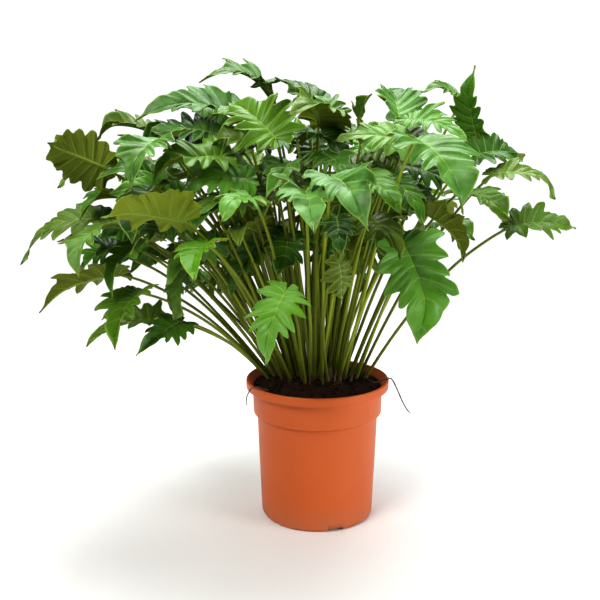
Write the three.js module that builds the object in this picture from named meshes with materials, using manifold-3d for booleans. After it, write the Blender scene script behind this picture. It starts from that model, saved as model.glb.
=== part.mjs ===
// A potted split-leaf philodendron: a thin plastic nursery pot filled with soil, four short stems in the soil,
// two thin aerial roots over the rim, and a crown of long-stalked, deeply lobed leaves.
// Millimetres, +Z up. The origin is the middle of the pot's underside, and the plant's fuller side faces -Y.

import * as THREE from 'three';
import { mergeVertices } from 'three/addons/utils/BufferGeometryUtils.js';
import Module from 'manifold-3d';

const wasm = await Module();
wasm.setup();

// ---------------------------------------------------------------- driving dimensions

const GAP = 0.3;                       // clear space kept between pieces that touch

const POT = {
  height: 208,
  rimRadius: 105,
  lipHeight: 13,                       // skirt of the rolled lip
  collarRadius: 94.5,                  // wider band under the lip, where nested pots stack
  collarBottom: 158,
  bodyTopRadius: 89,
  footRadius: 79,
  footHeight: 4,
  wall: 2,
  floorBottom: 6.5,                    // the floor is raised inside the foot ring
  floorTop: 9,
  footRingInner: 70,
  padRadius: 18,                       // flat pad in the middle of the underside
  sides: 40,
};
const NOTCH = { count: 4, width: 24, height: 5.5, firstAngle: -71 };      // drain notches in the foot
const HOLE = { count: 8, radius: 5.5, circle: 50, sides: 10 };            // drain holes in the floor

const SOIL = { edgeHeight: 198, topHeight: 201, topRadius: 82, sides: 32 };

const STEM = { radius: 10, height: 22, rings: 2, sides: 8 };
const STEM_PLACES = [[-6, 16], [34, 26], [-38, 28], [16, -4]];

const STALK = { footRadius: 3.2, jointRadius: 2.1, rings: 4, bow: 0.1 };
const BLADE_THICKNESS = 1.6;
const FOLD = THREE.MathUtils.degToRad(16);    // each half of a blade rises this much from the midrib
const FOOT_RADIUS = 62;                // where a stalk stands that leans by 45 degrees: flatter ones stand further out
const FOOT_BED = { middle: 18, wide: 74, deep: 50 };      // the feet stay in this oval, set back from the front
const FOOT_SPACING = 11;
const STEM_CLEARANCE = 15.5;

// Half of a blade's outline: [place along the midrib, half width, sweep], all as shares of the blade's length.
// A negative sweep lies back towards the stalk, as the two basal lobes do.
const OUTLINE = [
  [0.05, 0.27, -0.16],
  [0.12, 0.12, 0.00],
  [0.22, 0.35, 0.02],
  [0.31, 0.13, 0.02],
  [0.40, 0.31, 0.09],
  [0.50, 0.13, 0.03],
  [0.64, 0.21, 0.04],
  [0.84, 0.10, 0.00],
];

// Leaves: joint of stalk and blade, tip of the blade, roll of the blade about its midrib in degrees, arch of the
// midrib as a share of its length, and width against the common outline. The first group is the top of the crown.
const TOP_LEAVES = [
  [[-75, 120, 615], [-175, 60, 635], -10, 0.22, 1.0],
  [[5, 80, 590], [-105, 110, 645], 0, 0.12, 1.0],
  [[-110, 20, 580], [-255, -20, 580], 0, 0.16, 0.9],
  [[-55, -90, 555], [-120, -20, 605], 0, 0.08, 1.3],
  [[115, 20, 575], [105, 110, 635], 0, 0.05, 1.0],
  [[225, 20, 555], [200, -10, 650], -120, 0.04, 0.8],
  [[65, 40, 565], [70, -40, 610], 100, 0.10, 1.0],
  [[25, 50, 575], [-5, 110, 620], 0, 0.10, 1.2],
  [[200, 20, 615], [150, -10, 620], 0, 0.10, 1.1],
  [[120, -40, 580], [195, -90, 550], 0, 0.12, 1.1],
  [[120, -140, 555], [170, -240, 475], 0, 0.14, 1.1],
  [[115, -80, 550], [20, -100, 555], 0, 0.10, 1.0],
  [[-140, -20, 560], [-235, -20, 555], 0, 0.12, 1.1],
  [[-70, -80, 545], [-145, -80, 555], 0, 0.12, 1.2],
];
const LEFT_LEAVES = [
  [[-290, -40, 515], [-355, -110, 550], 75, 0.12, 1.1],
  [[-235, 40, 560], [-325, 20, 565], 0, 0.12, 0.9],
  [[-280, 40, 510], [-380, 20, 485], 0, 0.16, 0.9],
  [[-200, -100, 555], [-230, -200, 500], 0, 0.12, 1.0],
  [[-165, -160, 455], [-255, -235, 470], 70, 0.06, 1.0],
  [[-285, -20, 440], [-425, -20, 380], 0, 0.20, 0.8],
  [[-280, -60, 440], [-315, -150, 380], 0, 0.16, 1.0],
  [[-260, 20, 465], [-335, -60, 460], 0, 0.10, 1.1],
  [[-285, 0, 360], [-400, -40, 315], 50, 0.10, 0.8],
  [[-245, -60, 345], [-265, -150, 290], 0, 0.12, 1.0],
  [[-240, 20, 290], [-345, 0, 255], 0, 0.10, 0.8],
  [[-195, -20, 295], [-240, -110, 265], -30, 0.12, 0.8],
  [[-140, -150, 425], [-150, -240, 395], 0, 0.10, 1.0],
  [[-130, -60, 530], [-230, -90, 500], 0, 0.10, 1.1],
];
const FRONT_LEAVES = [
  [[-85, -70, 510], [-175, -110, 500], -10, 0.10, 1.1],
  [[-80, -140, 480], [-120, -220, 470], 0, 0.12, 1.1],
  [[-40, -170, 370], [-70, -230, 290], 0, 0.10, 1.0],
  [[-15, -200, 495], [-5, -310, 460], 0, 0.10, 0.9],
  [[10, -170, 510], [50, -280, 470], 0, 0.10, 0.9],
  [[25, -100, 455], [25, -200, 415], 0, 0.12, 1.0],
  [[20, -60, 390], [20, -150, 330], 0, 0.12, 1.0],
  [[55, -110, 510], [100, -190, 470], 0, 0.10, 1.0],
  [[60, -60, 450], [100, -160, 410], 0, 0.10, 1.0],
  [[105, -140, 430], [140, -200, 310], 0, 0.12, 1.0],
];
const RIGHT_LEAVES = [
  [[215, -20, 530], [295, 30, 525], 0, 0.12, 1.1],
  [[235, -40, 505], [330, -60, 485], 0, 0.16, 0.8],
  [[255, -80, 440], [350, -70, 435], 0, 0.12, 1.0],
  [[185, -20, 480], [245, -90, 450], 0, 0.10, 1.1],
  [[165, 0, 465], [210, -70, 410], -60, 0.10, 1.1],
  [[155, -20, 415], [220, -80, 405], 0, 0.16, 1.1],
];
const BACK_LEAVES = [
  [[150, 170, 440], [235, 265, 420], 0, 0.14, 1.0],
  [[70, 170, 535], [135, 280, 545], 0, 0.14, 1.0],
  [[80, 260, 400], [125, 375, 355], 0, 0.14, 1.0],
  [[-35, 190, 540], [-60, 300, 560], 0, 0.14, 1.0],
  [[-110, 250, 420], [-150, 370, 375], 0, 0.14, 1.0],
  [[-190, 150, 500], [-290, 215, 500], 0, 0.14, 1.0],
  [[-150, 190, 310], [-240, 280, 285], 0, 0.14, 1.0],
  [[-240, 120, 400], [-335, 180, 375], 0, 0.14, 1.0],
];

// ---------------------------------------------------------------- materials

const plastic = new THREE.MeshStandardMaterial({ color: 0xc9683c, roughness: 0.45 });
const potting = new THREE.MeshStandardMaterial({ color: 0x2b1c14, roughness: 0.95 });
const bark = new THREE.MeshStandardMaterial({ color: 0x5f5230, roughness: 0.8 });
const rootSkin = new THREE.MeshStandardMaterial({ color: 0x7a6a58, roughness: 0.8 });
const foliage = new THREE.MeshStandardMaterial({ color: 0x3f7f2c, roughness: 0.35, side: THREE.DoubleSide });

// ---------------------------------------------------------------- solids and meshes

function bare(geometry) {
  const copy = geometry.clone();
  for (const name of Object.keys(copy.attributes)) {
    if (name !== 'position') copy.deleteAttribute(name);
  }
  return mergeVertices(copy, 1e-3);
}

function toSolid(geometry) {
  const merged = bare(geometry);
  return new wasm.Manifold(new wasm.Mesh({
    numProp: 3,
    vertProperties: new Float32Array(merged.attributes.position.array),
    triVerts: new Uint32Array(merged.index.array),
  }));
}

function toGeometry(solid) {
  const mesh = solid.getMesh();
  const geometry = new THREE.BufferGeometry();
  geometry.setAttribute('position', new THREE.BufferAttribute(new Float32Array(mesh.vertProperties), 3));
  geometry.setIndex(Array.from(mesh.triVerts));
  geometry.computeVertexNormals();
  return geometry;
}

function lathe(profile, sides) {
  // profile: [radius, height] points; the lathe's own axis is Y, so it is turned up to Z
  const geometry = new THREE.LatheGeometry(profile.map(([r, z]) => new THREE.Vector2(r, z)), sides);
  return geometry.rotateX(Math.PI / 2);
}

function loft(rings, tip) {
  // Joins rings of equally many points into one closed body: a flat cap at the first ring, a point at the tip.
  const around = rings[0].length;
  const cap = rings[0].reduce((sum, p) => sum.add(p), new THREE.Vector3()).divideScalar(around);
  const points = [cap, ...rings.flat(), tip];
  const at = (ring, k) => 1 + ring * around + (k % around);
  const last = points.length - 1;
  const index = [];
  for (let k = 0; k < around; k += 1) {
    index.push(0, at(0, k + 1), at(0, k));
    index.push(last, at(rings.length - 1, k), at(rings.length - 1, k + 1));
    for (let ring = 0; ring < rings.length - 1; ring += 1) {
      index.push(at(ring, k), at(ring, k + 1), at(ring + 1, k + 1));
      index.push(at(ring, k), at(ring + 1, k + 1), at(ring + 1, k));
    }
  }
  const geometry = new THREE.BufferGeometry().setFromPoints(points);
  geometry.setIndex(index);
  geometry.computeVertexNormals();
  return geometry;
}

// ---------------------------------------------------------------- pot and soil

function makePot() {
  const { wall, height, rimRadius, collarRadius, collarBottom, bodyTopRadius, footRadius } = POT;
  const lipBottom = height - POT.lipHeight;
  const profile = [
    [0, 0],
    [POT.padRadius, 0],
    [POT.padRadius + 3, POT.floorBottom],
    [POT.footRingInner, POT.floorBottom],
    [POT.footRingInner + 1.5, 0],
    [footRadius, 0],
    [footRadius + POT.footHeight, POT.footHeight],
    [bodyTopRadius, collarBottom - 3],
    [collarRadius, collarBottom],
    [collarRadius + 1, lipBottom],
    [rimRadius, lipBottom],
    [rimRadius, height - 2],
    [rimRadius - 1.5, height],
    [rimRadius - 3, height - 0.5],
    [collarRadius + 1 - wall, height - 10],
    [collarRadius - wall, collarBottom + 2],
    [bodyTopRadius - wall, collarBottom - 5],
    [footRadius + POT.footHeight - wall, POT.floorTop + 0.5],
    [0, POT.floorTop],
  ];
  let pot = toSolid(lathe(profile, POT.sides));
  for (let k = 0; k < NOTCH.count; k += 1) {
    const notch = new THREE.BoxGeometry(40, NOTCH.width, 2 * NOTCH.height);
    notch.translate(POT.footRingInner + 10, 0, 0);
    notch.rotateZ(THREE.MathUtils.degToRad(NOTCH.firstAngle) + (k * 2 * Math.PI) / NOTCH.count);
    pot = pot.subtract(toSolid(notch));
  }
  for (let k = 0; k < HOLE.count; k += 1) {
    const hole = new THREE.CylinderGeometry(HOLE.radius, HOLE.radius, 4 * POT.floorTop, HOLE.sides);
    hole.rotateX(Math.PI / 2);
    hole.translate(HOLE.circle, 0, 0);
    hole.rotateZ(((k + 0.5) * 2 * Math.PI) / HOLE.count);
    pot = pot.subtract(toSolid(hole));
  }
  return toGeometry(pot);
}

function makeSoil() {
  const inner = POT.wall + GAP;
  return lathe([
    [0, POT.floorTop + GAP],
    [POT.footRadius + POT.footHeight - inner, POT.floorTop + 0.5 + GAP],
    [POT.bodyTopRadius - inner, POT.collarBottom - 5],
    [POT.collarRadius - inner, POT.collarBottom + 2 + GAP],
    [POT.collarRadius + 1 - inner - GAP, SOIL.edgeHeight],
    [SOIL.topRadius, SOIL.topHeight],
    [0, SOIL.topHeight],
  ], SOIL.sides);
}

// ---------------------------------------------------------------- stems and aerial roots

function makeStem([x, y]) {
  // A short tapering stub with the rings that old leaf bases leave.
  const bottom = SOIL.topHeight + GAP;
  const profile = [[0, 0], [STEM.radius, 0]];
  for (let ring = 1; ring <= STEM.rings; ring += 1) {
    const share = ring / (STEM.rings + 1);
    profile.push([STEM.radius * (1 - 0.35 * share), STEM.height * (share - 0.06)]);
    profile.push([STEM.radius * (0.92 - 0.35 * share), STEM.height * share]);
  }
  profile.push([STEM.radius * 0.45, STEM.height]);
  profile.push([0, STEM.height]);
  return lathe(profile, STEM.sides).translate(x, y, bottom);
}

const ROOT_SECTION_RADIUS = 0.9;
const ROOT_ROUTES = {
  aerial_root_right: [
    [80, -12, 203], [90, -14, 205], [99, -16, 210], [108, -18, 210.5], [116, -20, 196], [124, -22, 178],
    [131, -24, 166], [135, -25, 162],
  ],
  aerial_root_left: [
    [-70, -50, 202.5], [-79, -56, 206], [-85, -60, 210], [-93, -65, 209], [-99, -68, 198], [-100, -69, 186],
  ],
};

function makeRoot(route) {
  const section = new THREE.Shape();
  section.absarc(0, 0, ROOT_SECTION_RADIUS, 0, 2 * Math.PI);
  const path = new THREE.CatmullRomCurve3(route.map((p) => new THREE.Vector3(...p)));
  return new THREE.ExtrudeGeometry(section, {
    steps: 3 * route.length, curveSegments: 4, bevelEnabled: false, extrudePath: path,
  });
}

// ---------------------------------------------------------------- leaves

const UP = new THREE.Vector3(0, 0, 1);
const LIGHT = new THREE.Vector3(0, -0.45, 0.8);     // the window side, which upper faces turn to
const OUTWARD = 0.5;                                // how far upper faces also turn out from the plant's axis
const CROWN_RADIUS = 300;

function arc(from, to, lift) {
  // A curve from one point to the other whose middle is lifted by the vector lift.
  const middle = from.clone().lerp(to, 0.5).addScaledVector(lift, 2);
  return new THREE.QuadraticBezierCurve3(from, middle, to);
}

function frameAt(tangent, side) {
  // The side direction is squared up to the tangent; the third direction is the upper face's.
  const across = side.clone().addScaledVector(tangent, -side.dot(tangent)).normalize();
  return { across, upper: across.clone().cross(tangent) };
}

function stalkRing(centre, frame, radius) {
  return [150, 90, 30, -30, -90, -150].map((degrees) => {
    const angle = THREE.MathUtils.degToRad(degrees);
    return centre.clone()
      .addScaledVector(frame.across, radius * Math.cos(angle))
      .addScaledVector(frame.upper, radius * Math.sin(angle));
  });
}

function bladeRing(centre, tangent, frame, halfWidth, sweep, thickness) {
  const edge = (hand) => centre.clone()
    .addScaledVector(frame.across, hand * halfWidth * Math.cos(FOLD))
    .addScaledVector(frame.upper, halfWidth * Math.sin(FOLD))
    .addScaledVector(tangent, sweep);
  const left = edge(-1);
  const right = edge(1);
  const lifted = (point, share) => point.clone().addScaledVector(frame.upper, share * thickness);
  return [lifted(left, 0.35), lifted(centre, 0.5), lifted(right, 0.35),
    lifted(right, -0.35), lifted(centre, -0.8), lifted(left, -0.35)];
}

function leafGeometry(leaf, room = 0) {
  // room: how much fatter than the real leaf, to test for clear space around it
  const { foot, joint, tip, roll, arch, width, sway } = leaf;
  const chord = tip.clone().sub(joint);
  const length = chord.length();
  const heading = chord.clone().normalize();
  const outward = joint.clone().add(tip).setZ(0).multiplyScalar(OUTWARD / (2 * CROWN_RADIUS));
  const side = heading.clone().cross(outward.add(LIGHT)).normalize()
    .applyAxisAngle(heading, THREE.MathUtils.degToRad(roll));
  const upper = side.clone().cross(heading);
  const midrib = arc(joint, tip, upper.clone().multiplyScalar(arch * length));
  const span = joint.distanceTo(foot);
  const stalkPath = arc(foot, joint, new THREE.Vector3(sway[0], sway[1], STALK.bow * span));

  const rings = [];
  for (let k = 0; k <= STALK.rings; k += 1) {
    const t = k / STALK.rings;
    const share = k === STALK.rings ? 1 - 6 / span : t;
    const radius = THREE.MathUtils.lerp(STALK.footRadius, STALK.jointRadius, t) + room;
    const tangent = k === 0 ? UP : stalkPath.getTangent(share);      // the foot stands flat on the soil
    rings.push(stalkRing(stalkPath.getPoint(share), frameAt(tangent, side), radius));
  }
  const bend = stalkPath.getTangent(1).add(midrib.getTangent(0)).normalize();
  rings.push(stalkRing(joint, frameAt(bend, side), STALK.jointRadius + room));
  for (const [along, halfWidth, sweep] of OUTLINE) {
    const tangent = midrib.getTangent(along);
    const centre = midrib.getPoint(along);
    rings.push(bladeRing(centre, tangent, frameAt(tangent, side), width * halfWidth * length + room,
      sweep * length, BLADE_THICKNESS + 2 * room));
  }
  return loft(rings, tip);
}

function spreadFeet(leaves) {
  // Feet start under their leaves and push each other apart until they stand clear on the soil.
  for (const leaf of leaves) {
    const distance = Math.hypot(leaf.joint.x, leaf.joint.y);
    const lean = distance / (leaf.joint.z - SOIL.topHeight);
    const share = Math.min(FOOT_BED.wide, FOOT_RADIUS * lean ** 0.7) / distance;
    const flat = FOOT_BED.deep / FOOT_BED.wide;
    leaf.foot = new THREE.Vector3(leaf.joint.x * share, FOOT_BED.middle + leaf.joint.y * share * flat,
      SOIL.topHeight + GAP);
  }
  const keepApart = (foot, x, y, distance, share) => {
    const dx = foot.x - x;
    const dy = foot.y - y;
    const now = Math.hypot(dx, dy) || 1e-6;
    const push = Math.max(0, distance - now) * share / now;
    foot.x += dx * push;
    foot.y += dy * push;
  };
  for (let round = 0; round < 200; round += 1) {
    for (const { foot } of leaves) {
      for (const other of leaves) {
        if (other.foot !== foot) keepApart(foot, other.foot.x, other.foot.y, FOOT_SPACING, 0.5);
      }
      for (const [x, y] of STEM_PLACES) keepApart(foot, x, y, STEM_CLEARANCE, 1);
      const { middle, wide, deep } = FOOT_BED;
      const reach = Math.hypot(foot.x / wide, (foot.y - middle) / deep);
      if (reach > 1) foot.set(foot.x / reach, middle + (foot.y - middle) / reach, foot.z);
    }
  }
}

function apart(a, b) {
  const [p, q] = [a.boundingBox(), b.boundingBox()];
  for (let axis = 0; axis < 3; axis += 1) {
    if (p.min[axis] > q.max[axis] || q.min[axis] > p.max[axis]) return true;
  }
  return a.intersect(b).isEmpty();
}

const STEP_ASIDE = { tries: 600, stride: 5, sway: 1.8, shuffle: 1.2 };   // shifts per root of the try number
const SPREAD = [0.7549, 0.5698, 0.4503, 0.3251, 0.2817, 0.6180, 0.4142, 0.2361];   // irrational steps that fill a box evenly

function stepAside(leaf, attempt) {
  // Try number `attempt` moves the leaf a little further from its drawn place than the try before it.
  const wander = SPREAD.map((step) => 2 * ((attempt * step) % 1) - 1);
  const growth = Math.sqrt(attempt);
  const reach = STEP_ASIDE.stride * growth;
  const moved = { ...leaf, joint: leaf.joint.clone(), tip: leaf.tip.clone(), foot: leaf.foot.clone() };
  moved.joint.add(new THREE.Vector3(0.2 * wander[0], wander[1], 0.2 * wander[2]).multiplyScalar(reach));
  moved.tip.add(new THREE.Vector3(0.2 * wander[2], wander[3], 0.2 * wander[0]).multiplyScalar(reach));
  moved.foot.add(new THREE.Vector3(wander[6], wander[7], 0).multiplyScalar(STEP_ASIDE.shuffle * growth));
  moved.sway = [STEP_ASIDE.sway * growth * wander[4], STEP_ASIDE.sway * growth * wander[5]];
  return moved;
}

function growLeaves(standing) {
  const table = [...TOP_LEAVES, ...LEFT_LEAVES, ...FRONT_LEAVES, ...RIGHT_LEAVES, ...BACK_LEAVES];
  const leaves = table.map(([joint, tip, roll, arch, width]) => ({
    joint: new THREE.Vector3(...joint), tip: new THREE.Vector3(...tip), roll, arch, width, sway: [0, 0],
  }));
  spreadFeet(leaves);
  const solids = [...standing];
  return leaves.map((leaf, number) => {
    for (let attempt = 0; attempt < STEP_ASIDE.tries; attempt += 1) {
      const moved = stepAside(leaf, attempt);
      const roomy = toSolid(leafGeometry(moved, GAP));
      if (solids.every((solid) => apart(roomy, solid))) {
        const geometry = leafGeometry(moved);
        solids.push(toSolid(geometry));
        return geometry;
      }
    }
    throw new Error(`leaf ${number + 1} finds no clear place`);
  });
}

// ---------------------------------------------------------------- the plant

const plant = new THREE.Group();

function place(name, geometry, material) {
  const mesh = new THREE.Mesh(geometry, material);
  mesh.name = name;
  plant.add(mesh);
  return geometry;
}

const standing = [
  place('pot', makePot(), plastic),
  place('soil', makeSoil(), potting),
  ...STEM_PLACES.map((spot, k) => place(`stem_${k + 1}`, makeStem(spot), bark)),
  ...Object.entries(ROOT_ROUTES).map(([name, route]) => place(name, makeRoot(route), rootSkin)),
];
growLeaves(standing.map(toSolid)).forEach((geometry, k) => {
  place(`leaf_${String(k + 1).padStart(2, '0')}`, geometry, foliage);
});

export default plant;
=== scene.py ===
"""Potted philodendron: fine surfaces, materials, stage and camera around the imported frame.

Every leaf of the frame is read as a stalk curve, a midrib curve and a side direction, and a lobed, veined
blade is laid along it. Smaller inner leaves, the pot, the soil and its crumbs are worked out in the same
way.
"""

import math
from collections import namedtuple

import bpy
import numpy as np
from bpy.props import FloatProperty, FloatVectorProperty, IntProperty, PointerProperty
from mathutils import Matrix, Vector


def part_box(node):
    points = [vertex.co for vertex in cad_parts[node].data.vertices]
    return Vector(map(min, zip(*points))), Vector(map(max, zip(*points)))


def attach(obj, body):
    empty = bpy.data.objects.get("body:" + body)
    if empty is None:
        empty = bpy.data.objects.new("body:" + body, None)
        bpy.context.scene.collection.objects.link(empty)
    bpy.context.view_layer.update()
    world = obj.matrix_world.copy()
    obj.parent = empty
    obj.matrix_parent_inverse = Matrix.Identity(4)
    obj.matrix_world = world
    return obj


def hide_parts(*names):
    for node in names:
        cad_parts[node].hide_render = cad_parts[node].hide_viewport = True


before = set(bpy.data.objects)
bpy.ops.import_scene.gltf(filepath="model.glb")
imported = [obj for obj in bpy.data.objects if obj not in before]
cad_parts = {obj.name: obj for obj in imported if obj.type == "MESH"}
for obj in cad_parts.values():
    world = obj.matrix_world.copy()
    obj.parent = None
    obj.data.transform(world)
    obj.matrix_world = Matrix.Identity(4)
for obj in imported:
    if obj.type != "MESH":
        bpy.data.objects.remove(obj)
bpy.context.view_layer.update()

bl_info = {
    "name": "Potted Philodendron",
    "version": (1, 0, 0),
    "blender": (4, 5, 0),
    "location": "View3D > Sidebar > Plant",
    "description": "Builds the leaves, pot, soil and stage of a potted philodendron around its frame",
    "category": "Object",
}

MM = 0.001
POT_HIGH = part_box("pot")[1]
RIM_RADIUS = float(POT_HIGH[0])
POT_HEIGHT = float(POT_HIGH[2])
SOIL_TOP = float(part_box("soil")[1][2])
LEAF_NODES = sorted(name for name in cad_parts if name.startswith("leaf_"))
STEM_NODES = sorted(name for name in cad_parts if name.startswith("stem_"))


# ---------------------------------------------------------------- settings


def colour_property(name, description, default):
    """A colour setting: three shares from 0 to 1."""
    return FloatVectorProperty(
        name=name, description=description, default=default, size=3, min=0.0, max=1.0, subtype="COLOR")


def length_property(name, description, default):
    """A length setting in metres."""
    return FloatProperty(name=name, description=description, default=default, unit="LENGTH", precision=5)


class LeafSettings(bpy.types.PropertyGroup):
    """Sizes and colours of the leaves."""

    thickness: length_property("Blade thickness", "Thickness of a blade at its middle", 0.7 * MM)
    rib_width: length_property("Midrib width", "Half width of the pale midrib at the stalk", 1.5 * MM)
    vein_width: length_property("Vein width", "Half width of a lateral vein at the midrib", 0.8 * MM)
    stalk_foot_radius: length_property("Stalk foot radius", "Radius of a stalk over the soil", 2.4 * MM)
    stalk_joint_radius: length_property("Stalk joint radius", "Radius of a stalk under its blade", 1.8 * MM)
    inner_count: IntProperty(
        name="Inner leaves", description="Smaller leaves inside the clump", default=90, min=0, max=120)
    seed: IntProperty(name="Seed", description="Picks the leaves' natural differences", default=11, min=0)
    upper_deep: colour_property("Upper face, deep", "Older green of the upper face", (0.004, 0.040, 0.002))
    upper_bright: colour_property(
        "Upper face, bright", "Fresh green of the upper face", (0.095, 0.285, 0.006))
    # Painted glare: a pale blue-green sheen of light painted into the upper face's colour.
    upper_glare_colour: colour_property("Upper face, waxy", "Pale blue-green of a waxy upper face", (0.19, 0.42, 0.12))
    under: colour_property("Under face", "Olive green of the under face", (0.205, 0.250, 0.014))
    vein: colour_property("Veins", "Pale green of midrib and veins", (0.30, 0.46, 0.08))
    dry: colour_property("Dry tips", "Brown of withered leaf tips", (0.075, 0.050, 0.022))
    stalk: colour_property("Stalks", "Yellow-green of the stalks", (0.335, 0.420, 0.018))
    stalk_foot: colour_property("Stalk feet", "Browner green near the soil", (0.105, 0.125, 0.012))


class PotSettings(bpy.types.PropertyGroup):
    """Sizes and colours of the pot."""

    edge_round: length_property("Edge rounding", "Rounding of the pot's moulded edges", 1.2 * MM)
    notch_width: length_property("Notch width", "Width of a drain notch in the foot", 24 * MM)
    notch_height: length_property("Notch height", "Height of a drain notch in the foot", 5.5 * MM)
    plastic: colour_property("Plastic", "Terracotta colour of the pot", (0.56, 0.114, 0.020))
    # Paler colour of the convex edges: a painted highlight on the rim, together with rubbed wear.
    edge_highlight_and_wear: colour_property("Worn plastic", "Paler colour of rubbed edges", (0.76, 0.27, 0.11))
    dust: colour_property("Dust", "Dry soil dust on the pot", (0.36, 0.20, 0.12))


class SoilSettings(bpy.types.PropertyGroup):
    """Sizes and colours of the soil."""

    dome: length_property("Dome", "Rise of the soil's middle over its edge", 8 * MM)
    lump: length_property("Lump height", "Height of the larger lumps", 4 * MM)
    crumb_count: IntProperty(
        name="Crumbs", description="Loose crumbs and bark chips", default=900, min=0, max=2000)
    dark: colour_property("Wet soil", "Darkest colour of the potting mix", (0.0018, 0.0009, 0.0006))
    brown: colour_property("Dry soil", "Brown of the drier crumbs", (0.058, 0.022, 0.012))


class StageSettings(bpy.types.PropertyGroup):
    """Camera, lights and floor."""

    distance: length_property("Camera distance", "Level distance from the pot's axis", 1.235)
    height: length_property("Camera height", "Height of the camera over the floor", 0.575)
    lens: FloatProperty(name="Lens", description="Focal length on a 36 mm wide sensor", default=52.1, min=10)
    tilt: FloatProperty(name="Tilt", description="How far the camera looks down", subtype="ANGLE",
                        default=math.radians(11.5))
    turn: FloatProperty(name="Turn", description="How far the camera turns left of the pot's axis",
                        subtype="ANGLE", default=math.radians(1.19))
    gamma: FloatProperty(name="Gamma", description="Under 1 deepens the shadows", default=0.86)
    exposure: FloatProperty(name="Exposure", description="Brightness of the picture in stops", default=0.2)
    floor: colour_property("Floor", "Pale floor", (0.86, 0.86, 0.85))
    air_light: FloatProperty(name="Air light", description="Even light from all round", default=0.15, min=0)


# ---------------------------------------------------------------- meshes from grids


def grid_triangles(rows, columns, closed_across=False):
    """Two triangles for each cell of a grid of rows times columns points; closed_across joins last to
    first."""
    index = np.arange(rows * columns).reshape(rows, columns)
    if closed_across:
        index = np.hstack([index, index[:, :1]])
    a, b, c, d = index[:-1, :-1], index[:-1, 1:], index[1:, 1:], index[1:, :-1]
    return np.stack([np.stack([a, b, c], -1), np.stack([a, c, d], -1)], 2).reshape(-1, 3)


def weld(points, triangles, attributes, kinds):
    """Joins points that coincide to a micrometre and drops the triangles that vanish by it."""
    _, first, inverse = np.unique(np.round(points, 6), axis=0, return_index=True, return_inverse=True)
    triangles = inverse.reshape(-1)[triangles]
    a, b, c = triangles.T
    whole = (a != b) & (b != c) & (a != c)
    kept = {name: values[first] for name, values in attributes.items()}
    return points[first], triangles[whole], kept, kinds[whole]


def outward(points, triangles):
    """Turns all triangles round when the closed mesh's signed volume is negative."""
    a, b, c = (points[triangles[:, k]] for k in range(3))
    volume = np.einsum("ij,ij->i", a, np.cross(b, c)).sum()
    return triangles if volume > 0 else triangles[:, ::-1]


def make_mesh(name, points, triangles, attributes=None, kinds=None, smooth=True):
    """A mesh from arrays: point attributes are floats, and kinds is each triangle's material number."""
    mesh = bpy.data.meshes.new(name)
    mesh.vertices.add(len(points))
    mesh.vertices.foreach_set("co", np.ascontiguousarray(points, np.float32).ravel())
    mesh.loops.add(triangles.size)
    mesh.loops.foreach_set("vertex_index", np.ascontiguousarray(triangles, np.int32).ravel())
    mesh.polygons.add(len(triangles))
    mesh.polygons.foreach_set("loop_start", np.arange(0, triangles.size, 3, dtype=np.int32))
    if kinds is not None:
        mesh.polygons.foreach_set("material_index", np.ascontiguousarray(kinds, np.int32))
    mesh.polygons.foreach_set("use_smooth", np.full(len(triangles), smooth))
    for attribute, values in (attributes or {}).items():
        layer = mesh.attributes.new(attribute, "FLOAT", "POINT")
        layer.data.foreach_set("value", np.ascontiguousarray(values, np.float32))
    mesh.update(calc_edges=True)
    mesh.validate()
    return mesh


def add_piece(name, mesh, materials, stands_for=()):
    """Puts a finished piece into the scene, riding on the one body, in the place of its CAD nodes."""
    piece = bpy.data.objects.new(name, mesh)
    bpy.context.collection.objects.link(piece)
    for material in materials:
        piece.data.materials.append(material)
    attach(piece, "root")
    if stands_for:
        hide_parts(*stands_for)
    return piece


def unit(vectors):
    """Every vector divided by its own length."""
    return vectors / np.maximum(np.linalg.norm(vectors, axis=-1, keepdims=True), 1e-12)


def smooth_step(low, high, values):
    """0 below low, 1 above high, and an even S between them."""
    share = np.clip((values - low) / (high - low), 0, 1)
    return share * share * (3 - 2 * share)


def quadratic(start, bend, end, t):
    """Point at share t of the curve that leaves start towards bend and reaches end from it."""
    t = np.asarray(t, float)[..., None]
    return (1 - t) ** 2 * start + 2 * t * (1 - t) * bend + t ** 2 * end


def quadratic_heading(start, bend, end, t):
    """Unit tangent of the same curve."""
    t = np.asarray(t, float)[..., None]
    return unit(2 * (1 - t) * (bend - start) + 2 * t * (end - bend))


def tube(path, radii, sides, first_normal):
    """A closed tube: a circle of the given radii carried along the path, its start direction handed on
    from ring to ring without twist, with both ends closed to a point."""
    heading = unit(np.gradient(path, axis=0))
    normals = np.empty_like(path)
    normal = np.asarray(first_normal, float)
    for k, direction in enumerate(heading):
        normal = unit(normal - direction * (normal @ direction))
        normals[k] = normal
    side = np.cross(heading, normals)
    angle = np.linspace(0, 2 * math.pi, sides, endpoint=False)
    ring = normals[:, None] * np.cos(angle)[:, None] + side[:, None] * np.sin(angle)[:, None]
    points = path[:, None] + ring * np.asarray(radii)[:, None, None]
    start, end = (np.repeat(point[:, None], sides, 1) for point in (path[:1], path[-1:]))
    closed = np.concatenate([start, points, end])
    return closed.reshape(-1, 3), grid_triangles(len(closed), sides, closed_across=True)


def noise_field(points, size, seed, octaves=3):
    """Smooth seeded unevenness, about -1 to 1: sums of sines along turned directions, each octave half as
    large."""
    rng = np.random.default_rng(seed)
    total = np.zeros(len(points))
    for octave in range(octaves):
        directions = unit(rng.normal(size=(7, 3))) * (2 * math.pi * 2 ** octave / size)
        phases = rng.uniform(0, 2 * math.pi, 7)
        total += np.sin(points @ directions.T + phases).sum(1) / (3.2 * 2 ** octave)
    return total


# ---------------------------------------------------------------- leaves: reading the frame

Leaf = namedtuple("Leaf", "foot stalk_bend joint rib_bend tip side width")
# Dark to bright green, painted glare (a pale blue-green sheen of light painted on the upper face), depth of
# the cuts, width of the end lobe
Look = namedtuple("Look", "tone bloom depth end_width")
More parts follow.
